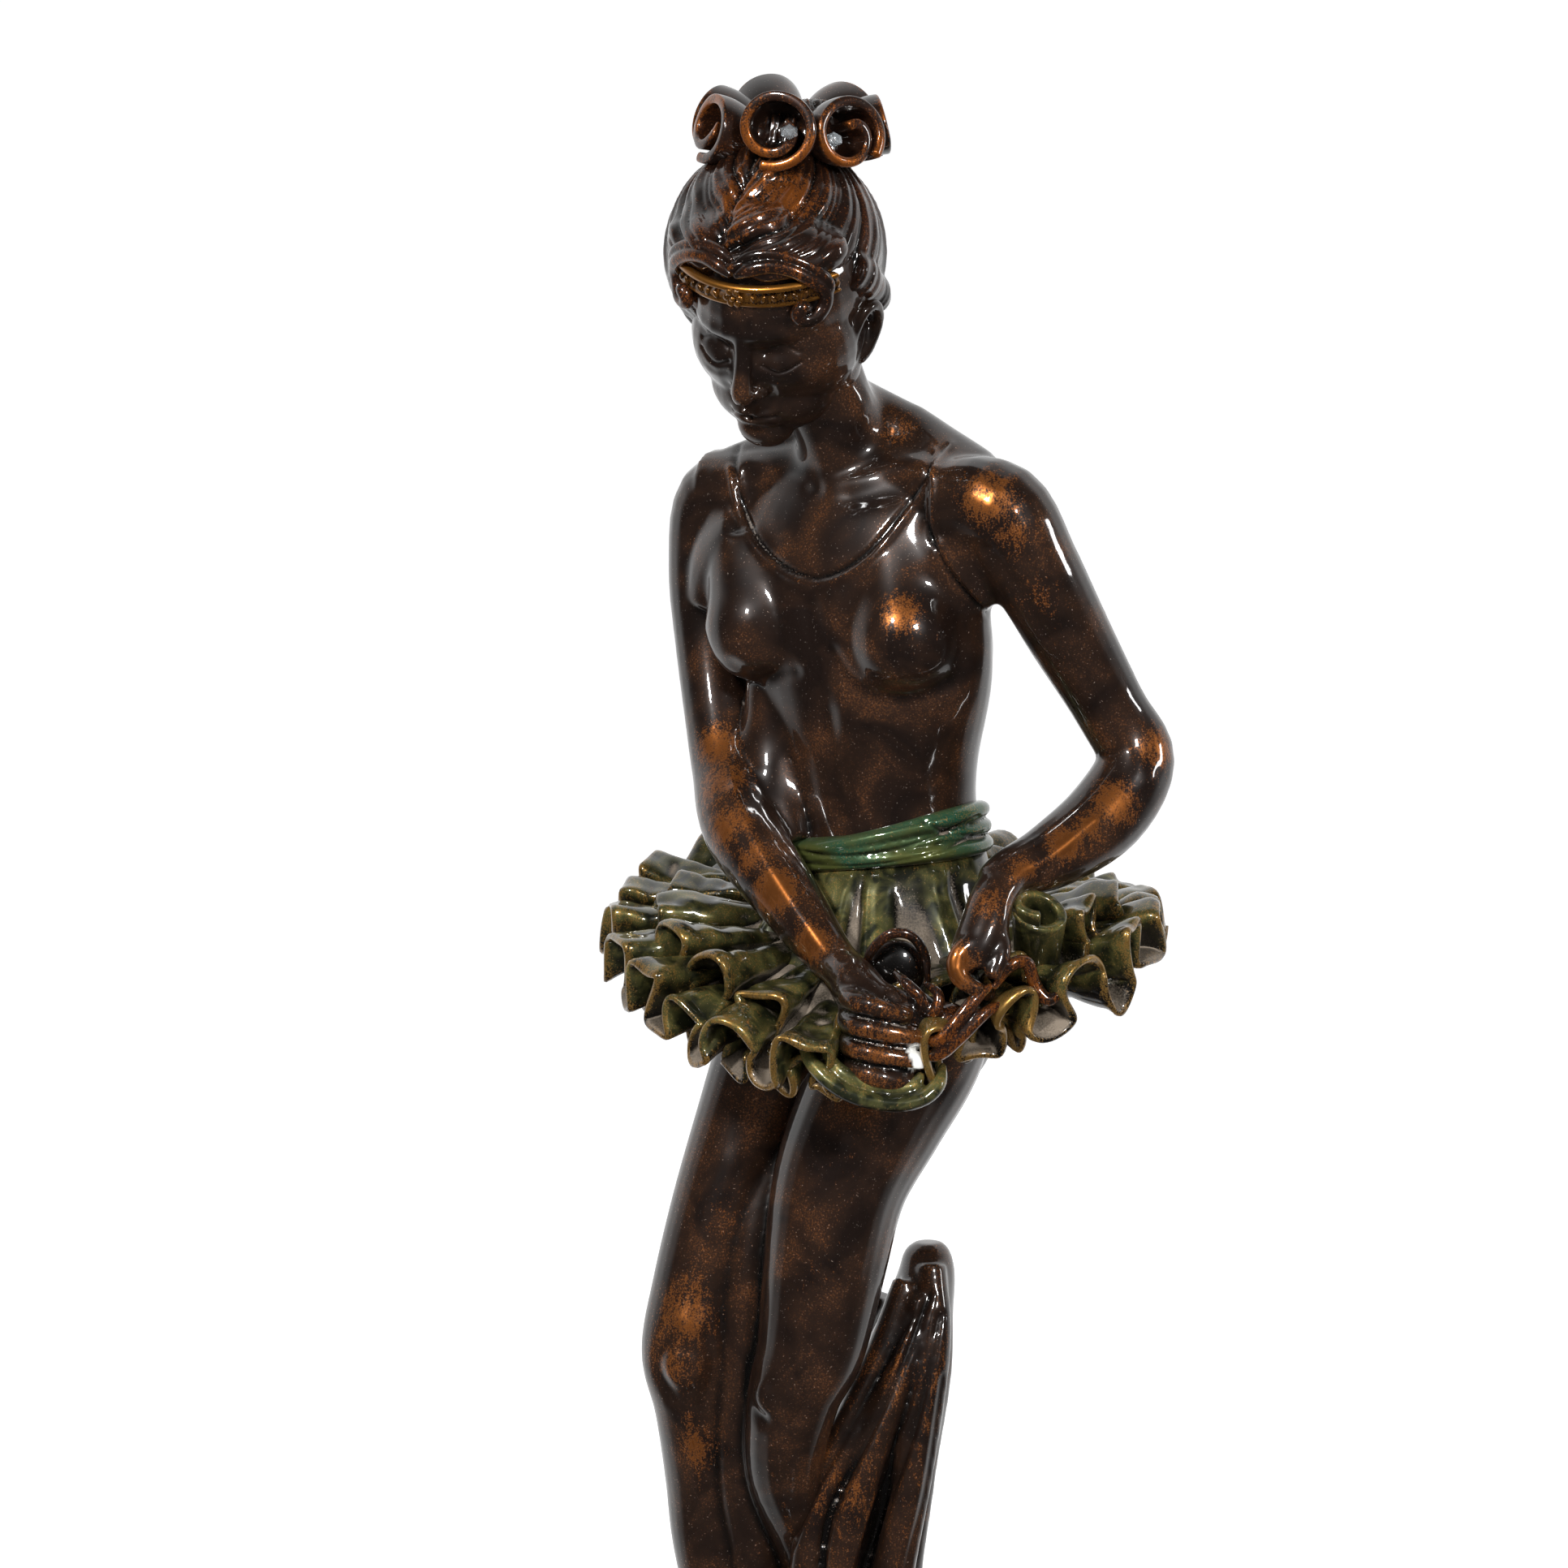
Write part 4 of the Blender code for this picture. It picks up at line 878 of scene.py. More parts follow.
def make_yoke():
    """The pleated skirt between the sash and the ruffles."""
    clay = bmesh.new()
    sunk_and_shade = clay.verts.layers.float.new("sunk_and_shade")
    top = WAIST @ Matrix.Translation((0, 0, -2)) @ Matrix.Diagonal((20.6, 16.2, 1, 1))
    rows = [(-1.3, 3.7, 224, 22.6, 18), (-1.5, 3.6, 219, 24.6, 20.4), (-2, 3.2, 213, 27.6, 23.6),
            (-2.2, 3, 207, 31, 27.6), (-2.4, 3, 201, 33, 30), (-2.4, 3, 196, 31, 28)]
    lower = [
        Matrix.Translation((x, y, z)) @ turned(-18, "Z") @ Matrix.Diagonal((w, d, 1, 1))
        for x, y, z, w, d in smooth_rows(rows, 5)
    ]
    verts = loft(clay, [top, *lower], 360)
    axis = Vector((-2, 3.5, 0))
    for vert in verts:
        out = Vector((vert.co.x, vert.co.y, 0)) - axis
        angle = math.atan2(out.y, out.x)
        drop = max(0.0, min(1.0, (229 - vert.co.z) / 14))
        wander = noise.noise(Vector((math.cos(angle) * 2.2, math.sin(angle) * 2.2, 1.5)))
        slant = noise.noise(Vector((math.cos(angle) * 5, math.sin(angle) * 5, vert.co.z * 0.04)))
        fold = math.sin(11 * angle + 3 * wander + 0.8 * slant)
        round_fold = 1 - (0.5 - 0.5 * fold) ** 2.2
        fine = math.sin(39 * angle + 7 * wander + vert.co.z * 0.05)
        vert.co += out.normalized() * ((round_fold - 0.6) * 2.9 * drop + fine * 0.15 * drop)
        vert[sunk_and_shade] = (1.05 - 1.05 * round_fold) * drop + 0.25 * drop * max(0.0, slant)
    yoke = piece_from("pleated_yoke", clay)
    baked(yoke)
    wear(yoke, (), passes=20, reach=0.6)
    return yoke


RUFFLES = (
    # name, node, folds, level, inner, reach, swing, overhang, droop, seed, thickness
    ("tutu_upper_frill", "tutu_upper_ruffle", 18, 4.4, 20, 48.0, 5.0, 3.3, 2.0, 0.3, 1.7),
    ("tutu_middle_frill", "tutu_middle_ruffle", 24, 0.8, 22, 57.4, 5.4, 2.9, 1.6, 2.1, 1.7),
    ("tutu_lower_frill", "tutu_lower_ruffle", 30, -4.2, 22, 51.0, 2.8, 1.5, 1.0, 4.4, 1.7),
)


def make_ruffle(name, folds, level, inner, reach, swing, overhang, droop, seed, thickness):
    """One frilled layer: a ring of cloth whose rim swings up, down and sideways into S-folds.

    She lifts it with her left hand, so its plane rises between the front and that side.
    """
    sides, steps = 24 * folds, 16
    clay = bmesh.new()
    sunk_and_shade = clay.verts.layers.float.new("sunk_and_shade")
    lip = clay.verts.layers.float.new("lip")
    rings = []
    for i in range(steps + 1):
        radius = inner + (reach - inner) * i / steps
        verts = bmesh.ops.create_circle(clay, radius=radius, segments=sides)["verts"]
        rings.append(list({edge for vert in verts for edge in vert.link_edges}))
    for low, high in zip(rings, rings[1:]):
        bmesh.ops.bridge_loops(clay, edges=low + high)
    for vert in clay.verts:
        radius = math.hypot(vert.co.x, vert.co.y)
        angle = math.atan2(vert.co.y, vert.co.x)
        way = Vector((math.cos(angle), math.sin(angle), 0))
        out = min(1.0, max(0.0, (radius - inner) / (reach - inner)))
        crumple = noise.noise(Vector((vert.co.x * 0.16, vert.co.y * 0.16, seed)))
        crinkle = abs(noise.noise(Vector((vert.co.x * 0.34, vert.co.y * 0.34, seed + 3))))
        crease = noise.noise(
            Vector((math.cos(angle) * 16, math.sin(angle) * 16, radius * 0.05 + seed))
        )
        drift = noise.noise(way * 1.6 + Vector((0, 0, seed)))
        size = noise.noise(way * 4.3 + Vector((0, 0, seed + 5)))
        bend = noise.noise(way * 3.3 + Vector((0, 0, seed + 9)))
        phase = folds * angle + 4.2 * drift + seed + 1.6 * (out - 0.5) * bend + 0.5 * crumple * out
        grow = out ** 1.15
        degrees = math.degrees(angle)
        lifted = 13 * math.exp(-(((degrees + 35) / 36) ** 2))
        lifted += 3 * math.exp(-(((degrees + 150) / 22) ** 2))
        back = max(0.0, math.sin(angle)) * (1.5 if math.cos(angle) > 0 else 1.0)
        tall = swing * (1 + 0.75 * size) * grow
        lean = -overhang * (1 + 0.4 * bend) * grow * math.sin(2 * phase) / radius
        lean += (3.0 * bend * math.cos(phase) + 1.4 * crumple) * grow / radius
        held = 11 * math.exp(-(((degrees + 92) / 9) ** 2))
        held += 8 * math.exp(-(((degrees + 70) / 8) ** 2))
        radius += (
            1.3 * grow * math.cos(phase + 0.8) + 2.4 * size * out - 2.2 * out
            - held * out * (reach / 57)
        )
        crest = math.sin(phase)
        vert.co = (
            radius * math.cos(angle + lean), radius * math.sin(angle + lean),
            level + tall * crest + 1.1 * grow * math.sin(3 * phase + 5 * bend) - droop * out * out
            + lifted * out - 6 * back * out + 2.2 * crumple * out + 1.8 * crease * out
            - 2.6 * crinkle * out,
        )
        # Darker in the fold troughs, where patina pools and dust lies, and painted shade on the
        # inner ring by the waist, under the frill above; crease and crinkle add random dark patches
        vert[sunk_and_shade] = (
            max(0.0, -crest + 0.15) * 0.9 * (0.4 + 0.6 * out) + 0.8 * (1 - out) ** 2
            + 0.5 * max(0.0, crease) + 0.9 * crinkle
        )
        vert[lip] = 0.16 * math.exp(-(((1 - out) / 0.035) ** 2)) * (1 + 2 * crumple)
    frill = piece_from(name, clay, FIGURE @ TUTU)
    thicken(frill, thickness, 1)
    wear(frill, (
        (12, -46, 198, 7, 0.5), (20, -44, 204, 6, 0.5), (0, -48, 187, 7, 0.35),
    ), passes=12, reach=0.5)
    return frill


def make_gathered_edges():
    """The cloth gathered between her hands: the green lip under her fist, and the worn edges."""
    made = []
    for name, paths, lumps in (
        ("tutu_lip_under_fist", (
            ([(-17, -39, 198.4), (-15, -43, 195), (-11.4, -46, 191.4), (-6, -47.6, 188.6),
              (1, -47.8, 187.4), (6.4, -47, 188.4), (9.4, -45, 191), (10.4, -41, 194)], 1.55),
            ([(-13, -41, 197.6), (-9, -45, 193), (-3, -46, 190.6), (4, -45.6, 190.4),
              (6.4, -44, 193)], 1.6),
        ), ()),
        ("tutu_worn_edges", (
            ([(6, -45.6, 200), (9.4, -46.8, 199.6), (12.6, -46.6, 203), (16, -45.6, 207),
              (19.6, -44, 210)], 1.35),
            ([(5, -44, 197.4), (9, -46, 196.6), (13.4, -46.4, 200), (18, -45, 204.4),
              (22, -43, 206.4)], 1.3),
            ([(1, -40, 212), (3.4, -43.4, 210), (6.4, -44, 206.6), (5, -42, 203)], 1.2),
            ([(6.6, -41, 210), (9.4, -43.4, 208), (8.6, -44.4, 204.6), (5.6, -43, 205)], 1.1),
            ([(20, -43, 209), (23, -43, 213.4), (26.4, -41.6, 214), (28, -41, 209.6),
              (30.6, -41.4, 206.6), (34, -40, 209)], 1.3),
            ([(-4.8, -31, 210), (-3.4, -34.4, 215), (0.2, -35.8, 218.6), (4.4, -35.6, 218.2),
              (7, -34.6, 214), (7.6, -35, 208)], 1.05),
        ), (
            ((4, -39, 203), (6.4, 5, 5.4)), ((10, -40, 201.6), (6.4, 5, 4.6)),
            ((1.6, -31, 211), (5.6, 3, 6)),
        )),
    ):
        clay = bmesh.new()
        for path, radius in paths:
            rope(clay, path, radius, 6, 16, 0.5)
        for centre, radii in lumps:
            ball(clay, centre, radii)
        edge = cast(name, clay, 0.42, 4)
        points, _ = points_of(edge)
        # Painted shade: the cloth is darkened inside the loop that stands over her fist, where dust
        # also settles
        away = (points - np.array((1.6, -34, 211.6))) / np.array((4.4, 3.2, 5))
        layer(edge, "sunk_and_shade", 1.5 * np.exp(-(away ** 2).sum(1) ** 2))
        wear(edge, ((10, -47, 200, 9, 0.3), (26, -43, 210, 8, 0.3)), passes=12, reach=0.4)
        made.append(edge)
    return made


def make_rolled_fold():
    """A fold of the frill rolled to a tube beside her left wrist, open upwards and to the front."""
    clay = bmesh.new()
    lip = clay.verts.layers.float.new("lip")
    sunk_and_shade = clay.verts.layers.float.new("sunk_and_shade")
    bmesh.ops.create_grid(clay, x_segments=60, y_segments=12, size=0.5)
    for vert in clay.verts:
        t, across = vert.co.x + 0.5, vert.co.y + 0.5
        sweep = math.radians(200 + 430 * t)
        radius = (4.6 - 1.9 * max(0.0, t - 0.5)) * (0.75 + 0.25 * across) + 0.4 * math.sin(9 * t)
        vert.co = (
            radius * math.cos(sweep) * 1.05 + 1.6 * (1 - across),
            -14 * across + 1.6 * math.sin(5 * t) * across,
            radius * math.sin(sweep) * 0.9 - 2.4 * (1 - across),
        )
        vert[lip] = 0.16 * math.exp(-(((1 - across) / 0.1) ** 2))
        # Painted shade: the roll darkens towards its closed back, away from the open front edge;
        # dust settles by the same layer
        vert[sunk_and_shade] = 0.45 * (1 - across)
    place = Matrix.Translation((27, -26.4, 213.7)) @ turned(-50, "X") @ turned(8, "Z")
    move(clay, clay.verts, place)
    fold = piece_from("tutu_rolled_fold", clay)
    thicken(fold, 2.0, 2)
    wear(fold, (), passes=12, reach=0.4)
    return fold


# The draped support

def make_support():
    clay = bmesh.new()
    trunk(clay, [
        (8.6, 6, 150.6, 2.6, 3, 0), (8.4, 6, 148.6, 4.6, 6, 0), (8, 6, 143, 6, 9, 0),
        (4.6, 6, 130, 8.4, 13, 0), (-1, 6, 112, 12, 15, 0), (-8.2, 6, 88, 14, 16, 0),
        (-10, 5, 60, 16, 17, 0), (-8, 5, 31, 20, 20, 0),
    ])
    for fold in (
        [(9, 0, 147, 3), (9.4, -5, 132, 3.6), (5.6, -9, 108, 4), (0.6, -11, 80, 4.4),
         (1, -12, 50, 5), (6, -13, 31, 6)],
        [(4, -1, 144, 2.6), (-1, -5, 130, 3.2), (-9, -9, 112, 3.6), (-15, -10, 92, 3.8),
         (-16, -10, 62, 4.4), (-17, -12, 31, 5.6)],
        [(7, -3, 141, 2.6), (1.4, -8, 124, 3.2), (-5.4, -11, 104, 3.6), (-10, -12, 84, 4),
         (-9, -12, 56, 4.4), (-5, -14, 31, 5.6)],
        [(11, 3, 143, 2.6), (10.4, 6, 124, 3), (6.4, 9, 100, 3.6), (3, 10, 70, 4.4),
         (9, 12, 31, 5.6)],
        [(0, 14, 138, 3), (-6, 18, 112, 4), (-14, 19, 84, 4.6), (-18, 17, 56, 5), (-20, 16, 31, 6)],
        [(8, 14, 141, 3), (3.4, 19, 114, 4), (-2, 20, 84, 4.6), (-3, 20, 56, 5), (0, 21, 31, 6)],
    ):
        limb(clay, fold, 6, 20)
    support = cast("draped_pillar", clay, 0.7, 6)
    model(support, (
        ([(8.6, 142), (3, 128), (-5, 112), (-12, 96), (-13, 70)], 0.8, -0.9),
        ([(10.6, 138), (6, 118), (-1, 98), (-6, 78), (-4, 54)], 0.8, -0.9),
        ([(5, 138), (-4, 122), (-13, 106), (-19, 93)], 0.8, -0.7),
        ([(11.4, 126), (8, 104), (3.4, 84), (3, 60)], 1.0, -0.6),
        ([(9.8, 134), (4.6, 118), (-2.6, 102), (-8, 86)], 0.5, 0.35),
    ))
    wear(support, ((4, -8, 128, 8, 0.3), (-8, -14, 104, 8, 0.3)), passes=20, reach=0.5)
    return support


# The base

def turned_piece(name, profile, steps=128):
    """A body turned about Z from (radius, height) points in millimetres of the row frame."""
    clay = bmesh.new()
    verts = [clay.verts.new((r, 0, z)) for r, z in profile]
    edges = [clay.edges.new(pair) for pair in zip(verts, verts[1:])]
    bmesh.ops.spin(
        clay, geom=verts + edges, axis=(0, 0, 1), cent=(0, 0, 0), angle=math.tau, steps=steps,
        use_merge=True,
    )
    bmesh.ops.remove_doubles(clay, verts=clay.verts, dist=0.001)
    bmesh.ops.bevel(
        clay, geom=[e for e in clay.edges if e.calc_face_angle(0) > 0.6], offset=0.35,
        segments=2, profile=0.5, affect="EDGES", material=-1,
    )
    obj = piece_from(name, clay, Matrix.Scale(MM, 4))
    obj.data.shade_smooth()
    return obj


def make_base():
    low, high = (corner.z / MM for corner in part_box("marble_plinth"))
    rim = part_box("marble_plinth")[1].x / MM
    plinth = turned_piece("turned_marble_plinth", [
        (0, high), (rim - 3.6, high), (rim - 2.5, high - 0.6), (rim - 2.0, high - 2.2),
        (rim - 2.5, high - 3.8),
        (rim - 3.2, high - 4.4), (rim - 3.4, high - 5.4), (rim - 4.4, high - 6.4),
        (rim - 4.6, high - 8.4), (rim - 3.9, low + 9.4), (rim - 2.4, low + 7.4),
        (rim - 1, low + 6.4), (rim - 0.2, low + 5.4),
        (rim, low + 4.4), (rim, low + 0.5), (rim - 0.6, low), (0, low),
    ])
    low, high = (corner.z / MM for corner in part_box("ground_plate"))
    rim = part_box("ground_plate")[1].x / MM
    clay = bmesh.new()
    matrices = [
        Matrix.Translation((0, 0, z)) @ Matrix.Scale(r, 4)
        for r, z in (
            (rim, low), (rim, low + 2.4), (rim - 0.7, low + 4.8), (rim - 3, low + 6.6),
            (rim - 7, high - 0.2), (rim - 14, high - 0.1), (30, high - 0.1), (12, high - 0.1),
        )
    ]
    for vert in loft(clay, matrices, 160):
        if vert.co.z > low + 2:
            bump = noise.noise(vert.co * 0.09) + 0.5 * noise.noise(vert.co * 0.31)
            vert.co.z = min(vert.co.z + 0.5 * bump, high)
            vert.co.xy *= 1 - 0.008 * abs(noise.noise(vert.co * 0.12))
    plate = piece_from("rough_ground_plate", clay, Matrix.Scale(MM, 4))
    modify(plate, "SUBSURF", levels=1, render_levels=1)
    baked(plate)
    for name in ("ridge", "hollow", "rubbed"):
        layer(plate, name, np.zeros(len(plate.data.vertices)))
    return plinth, plate


# Finishes

CHIPPED = "#dcdcd8"  # the white body that shows where a flake of finish is gone


def linear(code):
    """A colour for the shaders from an sRGB hex value."""
    parts = [int(code[i:i + 2], 16) / 255 for i in (1, 3, 5)]
    return (*(c / 12.92 if c <= 0.04045 else ((c + 0.055) / 1.055) ** 2.4 for c in parts), 1)


def add(tree, kind, inputs=None, **settings):
    """A shader node with its settings; an input takes a value or another node's output."""
    node = tree.nodes.new("ShaderNode" + kind)
    for name, value in settings.items():
        setattr(node, name, value)
    for socket, value in (inputs or {}).items():
        if isinstance(value, bpy.types.NodeSocket):
            tree.links.new(value, node.inputs[socket])
        else:
            node.inputs[socket].default_value = value
    return node


def new_material(name):
    material = bpy.data.materials.new(name)
    material.use_nodes = True
    material.node_tree.nodes.clear()
    return material, material.node_tree


def close(tree, shader):
    add(tree, "OutputMaterial", {"Surface": shader.outputs["BSDF"]})


def maths(tree, operation, *values):
    """The result of one sum on values and other nodes' outputs."""
    return add(tree, "Math", dict(enumerate(values)), operation=operation).outputs[0]


def ramp(tree, value, low=0.0, high=1.0, bottom=0.0, top=1.0):
    """What runs from bottom to top as the value runs from low to high."""
    return add(tree, "MapRange", {0: value, 1: low, 2: high, 3: bottom, 4: top}).outputs[0]


def blend(tree, amount, first, second):
    """The second colour over the first by that amount."""
    return add(tree, "Mix", {0: amount, 6: first, 7: second}, data_type="RGBA").outputs[2]


def patina(
    name, deep_patina_and_shade, ground, tint, metal, dust, tint_size, rub_start, ridge_share, dust_share,
    hollow_share, base_metal, underside_shade_share=0.3, powdered=0.22,
):
    """Bronze lacquer on a cast body: mottled, with metal where it is rubbed and settled dust.

    deep lies in the hollows, where the patina pools, and on the undersides as painted shade; on
    some cloth pieces the hollow layer holds painted shade too. ground and tint lie in patches
    tint_size metres wide; metal shows from rub_start on, and ridge_share, dust_share and
    hollow_share weigh the wear layers. base_metal is how metallic the lacquer is,
    underside_shade_share how strong the painted shade on the undersides is, and powdered how much
    bronze powder lies in it.
    """
    material, tree = new_material(name)
    place = add(tree, "TexCoord").outputs["Object"]
    normal = add(tree, "NewGeometry").outputs["Normal"]
    facing_up = add(tree, "SeparateXYZ", {0: normal}).outputs["Z"]
    ridge, hollow, rubbed, gone = (
        add(tree, "Attribute", attribute_name=key).outputs["Fac"]
        for key in ("ridge", "hollow", "rubbed", "chip")
    )
    patches = add(tree, "TexNoise", {
        "Vector": place, "Scale": 1 / tint_size, "Detail": 3.0, "Distortion": 0.6,
    }).outputs[0]
    # Brushed grain 0.7 mm wide and 2.5 mm long, and powder grains of 0.35 mm
    stretched = add(tree, "Mapping", {"Vector": place, "Scale": (1, 1, 0.28)}).outputs[0]
    grain = add(tree, "TexNoise", {
        "Vector": stretched, "Scale": 1100.0, "Detail": 6.0, "Roughness": 0.75,
    }).outputs[0]
    powder = add(tree, "TexNoise", {"Vector": place, "Scale": 2900.0, "Detail": 2.0}).outputs[0]
    tinted = ramp(tree, patches, 0.38, 0.62)
    touched = maths(tree, "ADD", maths(tree, "MULTIPLY", ridge, ridge_share), rubbed)
    patchy = maths(tree, "MULTIPLY_ADD", patches, 0.25, touched)
    streaked = maths(tree, "MULTIPLY_ADD", grain, 1.6, patchy)
    broken = maths(tree, "MULTIPLY_ADD", powder, 1.2, streaked)
    bare = ramp(tree, broken, rub_start, rub_start + 0.5)
    # The deep colour in the hollows: patina that pools there, and on some cloth pieces painted
    # shade carried in the hollow layer
    sunk_and_shade = ramp(tree, hollow, 0.05, hollow_share)
    level = ramp(tree, facing_up, -0.5, 0.7, 0.25, 1.0)
    settled = maths(tree, "MULTIPLY", hollow, level)
    drifted = maths(tree, "MULTIPLY_ADD", powder, 0.8, settled)
    dusty = ramp(tree, drifted, 1.45 - dust_share, 2.15 - dust_share)
    fleck = ramp(tree, powder, 0.70, 0.74, 0.0, 0.5)
    speckle = ramp(tree, maths(tree, "MULTIPLY", powder, patches), 0.30, 0.44, 0.0, powdered)
    # Painted shade: the undersides turn towards the deep colour, by underside_shade_share
    painted_underside_shade = ramp(tree, facing_up, -0.15, -0.7, 0.0, underside_shade_share)
    colour = linear(ground)
    for amount, paint in (
        (tinted, tint), (speckle, metal), (sunk_and_shade, deep_patina_and_shade), (painted_underside_shade, deep_patina_and_shade), (bare, metal),
        (fleck, dust), (dusty, dust),
    ):
        colour = blend(tree, amount, colour, linear(paint))
    colour = blend(tree, gone, colour, linear(CHIPPED))
    covered = maths(tree, "MAXIMUM", dusty, gone)
    clean = ramp(tree, covered, bottom=1.0, top=0.0)
    shine = ramp(tree, bare, bottom=base_metal, top=0.9)
    close(tree, add(tree, "BsdfPrincipled", {
        "Base Color": colour, "Metallic": maths(tree, "MULTIPLY", shine, clean),
        "Roughness": ramp(tree, covered, bottom=0.34, top=0.85), "Specular IOR Level": 0.15,
        "Coat Weight": clean, "Coat Roughness": 0.05, "Coat IOR": 1.5,
    }))
    return material


def make_finishes():
    finishes = {}
    # Bronze-powder lacquer on a cast figure, wiped back: near-black brown, copper on high spots
    finishes["bronze"] = patina(
        "waxed_dark_bronze_patina", deep_patina_and_shade="#080605", ground="#170e0a", tint="#2a1b12",
        metal="#95592a", dust="#968a80", tint_size=0.012, rub_start=1.96, ridge_share=0.28,
        dust_share=0.0, hollow_share=1.2, base_metal=0.15,
    )
    # The same lacquer on the hair, where more of the copper is wiped bare
    finishes["copper"] = patina(
        "rubbed_copper_hair_patina", deep_patina_and_shade="#070504", ground="#150d09", tint="#27150d",
        metal="#93521f", dust="#968a80", tint_size=0.010, rub_start=1.86, ridge_share=0.32,
        dust_share=-0.1, hollow_share=0.7, base_metal=0.2,
    )
    # The gilt band: the powder worn to a yellower bronze
    finishes["gilt"] = patina(
        "worn_gilt_band", deep_patina_and_shade="#1a0d06", ground="#33200f", tint="#4a2e13", metal="#9a672b",
        dust="#968a80", tint_size=0.006, rub_start=1.72, ridge_share=0.4, dust_share=-0.2,
        hollow_share=0.7, base_metal=0.7,
    )
    # Verdigris lacquer over bronze powder: olive, teal and gold that pool near-black in the folds,
    # and painted shade that darkens the undersides
    finishes["green"] = patina(
        "green_gold_verdigris_lacquer", deep_patina_and_shade="#0f0c08", ground="#4a4f28", tint="#204a38",
        metal="#9a7a3c", dust="#8f8375", tint_size=0.010, rub_start=1.92, ridge_share=0.3,
        dust_share=0.35, hollow_share=1.3, base_metal=0.3, underside_shade_share=0.7, powdered=0.4,
    )
    # The same lacquer on the cloth, browner: bronze shows through it and pale dust fills the folds;
    # painted shade darkens its undersides strongly
    finishes["olive"] = patina(
        "dusty_olive_bronze_lacquer", deep_patina_and_shade="#0a0806", ground="#1e2114", tint="#5c5a33",
        metal="#a07a40", dust="#85796b", tint_size=0.0045, rub_start=1.86, ridge_share=0.24,
        dust_share=0.36, hollow_share=1.0, base_metal=0.3, underside_shade_share=0.95, powdered=0.6,
    )

    # Black marble, polished: pale thin veins under a wet-looking surface
    marble, tree = new_material("polished_black_marble")
    place = add(tree, "TexCoord").outputs["Object"]
    bent = add(tree, "TexNoise", {
        "Vector": place, "Scale": 26.0, "Detail": 6.0, "Distortion": 2.2,
    }).outputs[0]
    thin = maths(tree, "ABSOLUTE", maths(tree, "ADD", bent, -0.5))
    veins = ramp(tree, thin, 0.012, 0.0, 0.0, 0.55)
    close(tree, add(tree, "BsdfPrincipled", {
        "Base Color": blend(tree, veins, linear("#0c0b0b"), linear("#b9b2a6")),
        "Roughness": 0.12, "IOR": 1.55,
    }))
    finishes["marble"] = marble

    # Lead-free crystal, cut and glued: clear, with bright facets
    crystal, tree = new_material("cut_clear_crystal")
    close(tree, add(tree, "BsdfPrincipled", {
        "Base Color": linear("#e9f0f4"), "Roughness": 0.02, "IOR": 1.6, "Transmission Weight": 0.85,
    }))
    finishes["crystal"] = crystal

    # Zinc-plated steel, for the hidden pins and the nuts under the base
    steel, tree = new_material("zinc_plated_steel")
    place = add(tree, "TexCoord").outputs["Object"]
    spangle = add(tree, "TexNoise", {"Vector": place, "Scale": 700.0}).outputs[0]
    close(tree, add(tree, "BsdfPrincipled", {
        "Base Color": linear("#a9abac"), "Metallic": 1.0,
        "Roughness": ramp(tree, spangle, bottom=0.25, top=0.45),
    }))
    finishes["steel"] = steel

    # Wool felt, pressed: matt and even, with short fibres
    felt, tree = new_material("pressed_green_felt")
    place = add(tree, "TexCoord").outputs["Object"]
    fibre = add(tree, "TexNoise", {"Vector": place, "Scale": 1500.0, "Detail": 4.0}).outputs[0]
    lumps = add(tree, "Bump", {"Height": fibre, "Strength": 0.4, "Distance": 0.0004}).outputs[0]
    close(tree, add(tree, "BsdfPrincipled", {
        "Base Color": blend(tree, fibre, linear("#16301f"), linear("#2c4d35")),
        "Roughness": 0.95, "Sheen Weight": 0.4, "Normal": lumps,
    }))
    finishes["felt"] = felt
    return finishes


# Studio

def soft_box(name, place, target, size, watts):
    light = bpy.data.lights.new(name, "AREA")
    light.shape, light.size, light.size_y, light.energy = "RECTANGLE", *size, watts
    lamp = bpy.data.objects.new(name, light)
    lamp.location = place
    lamp.rotation_euler = (Vector(target) - Vector(place)).to_track_quat("-Z", "Y").to_euler()
    bpy.context.scene.collection.objects.link(lamp)


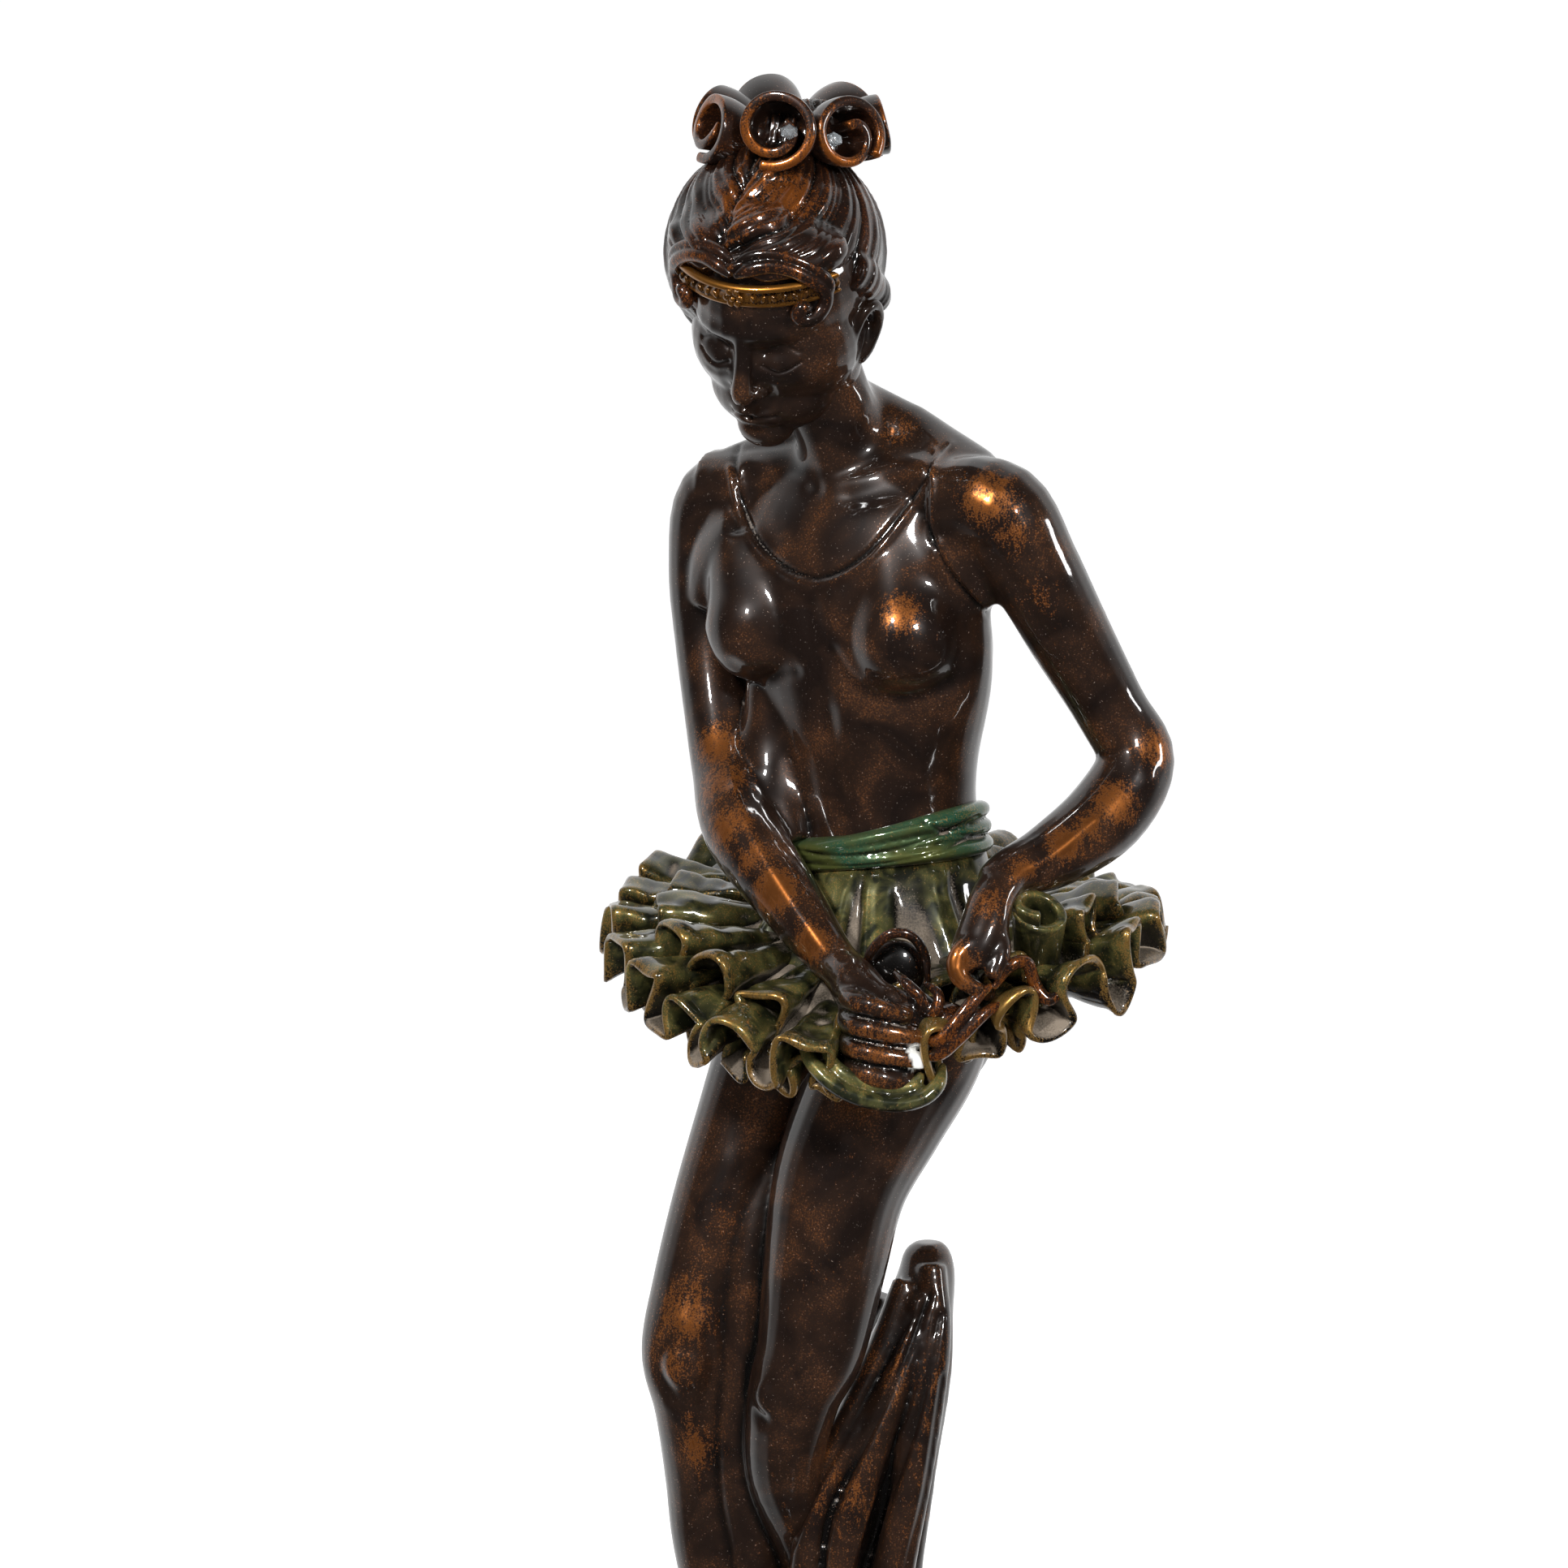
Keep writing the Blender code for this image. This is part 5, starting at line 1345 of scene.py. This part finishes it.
def make_studio():
    """A white room behind the figure, a dark one in front, and soft boxes beside the camera."""
    scene = bpy.context.scene
    scene.view_settings.view_transform = "Standard"
    clay = bmesh.new()
    bmesh.ops.create_circle(clay, radius=60, segments=96, cap_ends=True)
    floor = piece_from("studio_floor", clay, Matrix.Identity(4))
    paper, tree = new_material("white_paper_floor")
    close(tree, add(tree, "BsdfPrincipled", {
        "Base Color": linear("#f4f4f4"), "Roughness": 0.9, "Emission Color": linear("#ffffff"),
        "Emission Strength": 0.72,
    }))
    floor.data.materials.append(paper)
    floor.visible_glossy = False  # the polished base reflects the dark room, not the floor

    world = bpy.data.worlds.new("studio_room")
    scene.world = world
    world.use_nodes = True
    tree = world.node_tree
    tree.nodes.clear()
    way = add(tree, "SeparateXYZ", {0: add(tree, "TexCoord").outputs["Generated"]})
    behind = add(
        tree, "MapRange", {0: way.outputs["Y"], 1: -0.1, 2: 0.5, 3: 0.03, 4: 0.8},
        interpolation_type="SMOOTHSTEP",
    )
    ray = add(tree, "LightPath").outputs["Is Camera Ray"]
    seen = add(tree, "Mix", {0: ray, 2: behind.outputs[0], 3: 0.98})
    back = add(tree, "Background", {"Color": (1, 1, 1, 1), "Strength": seen.outputs[0]})
    add(tree, "OutputWorld", {"Surface": back.outputs[0]})

    middle = (-0.01, 0, 0.25)
    soft_box("key_box", (-0.55, -0.85, 0.95), middle, (0.1, 0.13), 12)
    soft_box("fill_box", (0.42, -0.95, 0.75), middle, (0.11, 0.16), 8.5)
    soft_box("side_box", (1.0, -0.1, 0.5), middle, (0.08, 0.2), 1.2)

    camera = bpy.data.objects.new("camera", bpy.data.cameras.new("camera"))
    camera.data.lens, camera.data.sensor_width = 163, 36
    look_at, distance, rise = Vector((-0.0202, 0, 0.2434)), 1.4, math.radians(7)
    back = Vector((0, -math.cos(rise), math.sin(rise)))
    camera.location = look_at + distance * back
    camera.rotation_euler = (-back).to_track_quat("-Z", "Y").to_euler()
    camera.data.clip_end = 200
    scene.collection.objects.link(camera)
    scene.camera = camera


# Assembly: which finish each piece has, and which nodes of the frame it stands for

finishes = make_finishes()


def fit(piece, finish, slot, *nodes):
    piece.data.materials.clear()
    piece.data.materials.append(finishes[finish])
    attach(piece, "root")
    if nodes:
        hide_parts(*nodes)


fit(
    make_figure(), "bronze", "dark_bronze",
    "torso", "left_arm", "right_arm", "left_hand", "right_hand",
)
fit(make_legs(), "bronze", "dark_bronze", "standing_leg", "left_leg")
fit(make_head(), "bronze", "dark_bronze", "head")
fit(make_hair(), "copper", "dark_bronze", "hair_shell")
fit(make_knot_heart(), "copper", "dark_bronze")
for scroll in make_temple_scrolls():
    fit(scroll, "copper", "dark_bronze")
fit(make_band(), "gilt", "rubbed_copper", "headband")
for number, curl in enumerate(make_curls(), 1):
    fit(curl, "copper", "rubbed_copper", f"topknot_curl_{number}")
for number, stone in enumerate(make_stones(), 1):
    fit(stone, "crystal", "clear_crystal", f"hair_crystal_{number}")
fit(make_sash(), "green", "green_gold_patina", "waist_sash")
fit(make_yoke(), "olive", "green_gold_patina", "skirt_yoke")
for edge, finish in zip(make_gathered_edges(), ("olive", "copper")):
    fit(edge, finish, "green_gold_patina")
fit(make_rolled_fold(), "olive", "green_gold_patina")
for name, node, *shape in RUFFLES:
    fit(make_ruffle(name, *shape), "olive", "green_gold_patina", node)
fit(make_support(), "bronze", "dark_bronze", "draped_support")
plinth, plate = make_base()
fit(plinth, "marble", "black_marble", "marble_plinth")
fit(plate, "bronze", "dark_bronze", "ground_plate")
for name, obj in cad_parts.items():
    for key, finish in (
        ("dowel", "steel"), ("stud", "steel"), ("washer", "steel"), ("_nut", "steel"),
        ("felt", "felt"),
    ):
        if key in name:
            for slot in obj.material_slots:
                slot.material = finishes[finish]

make_studio()
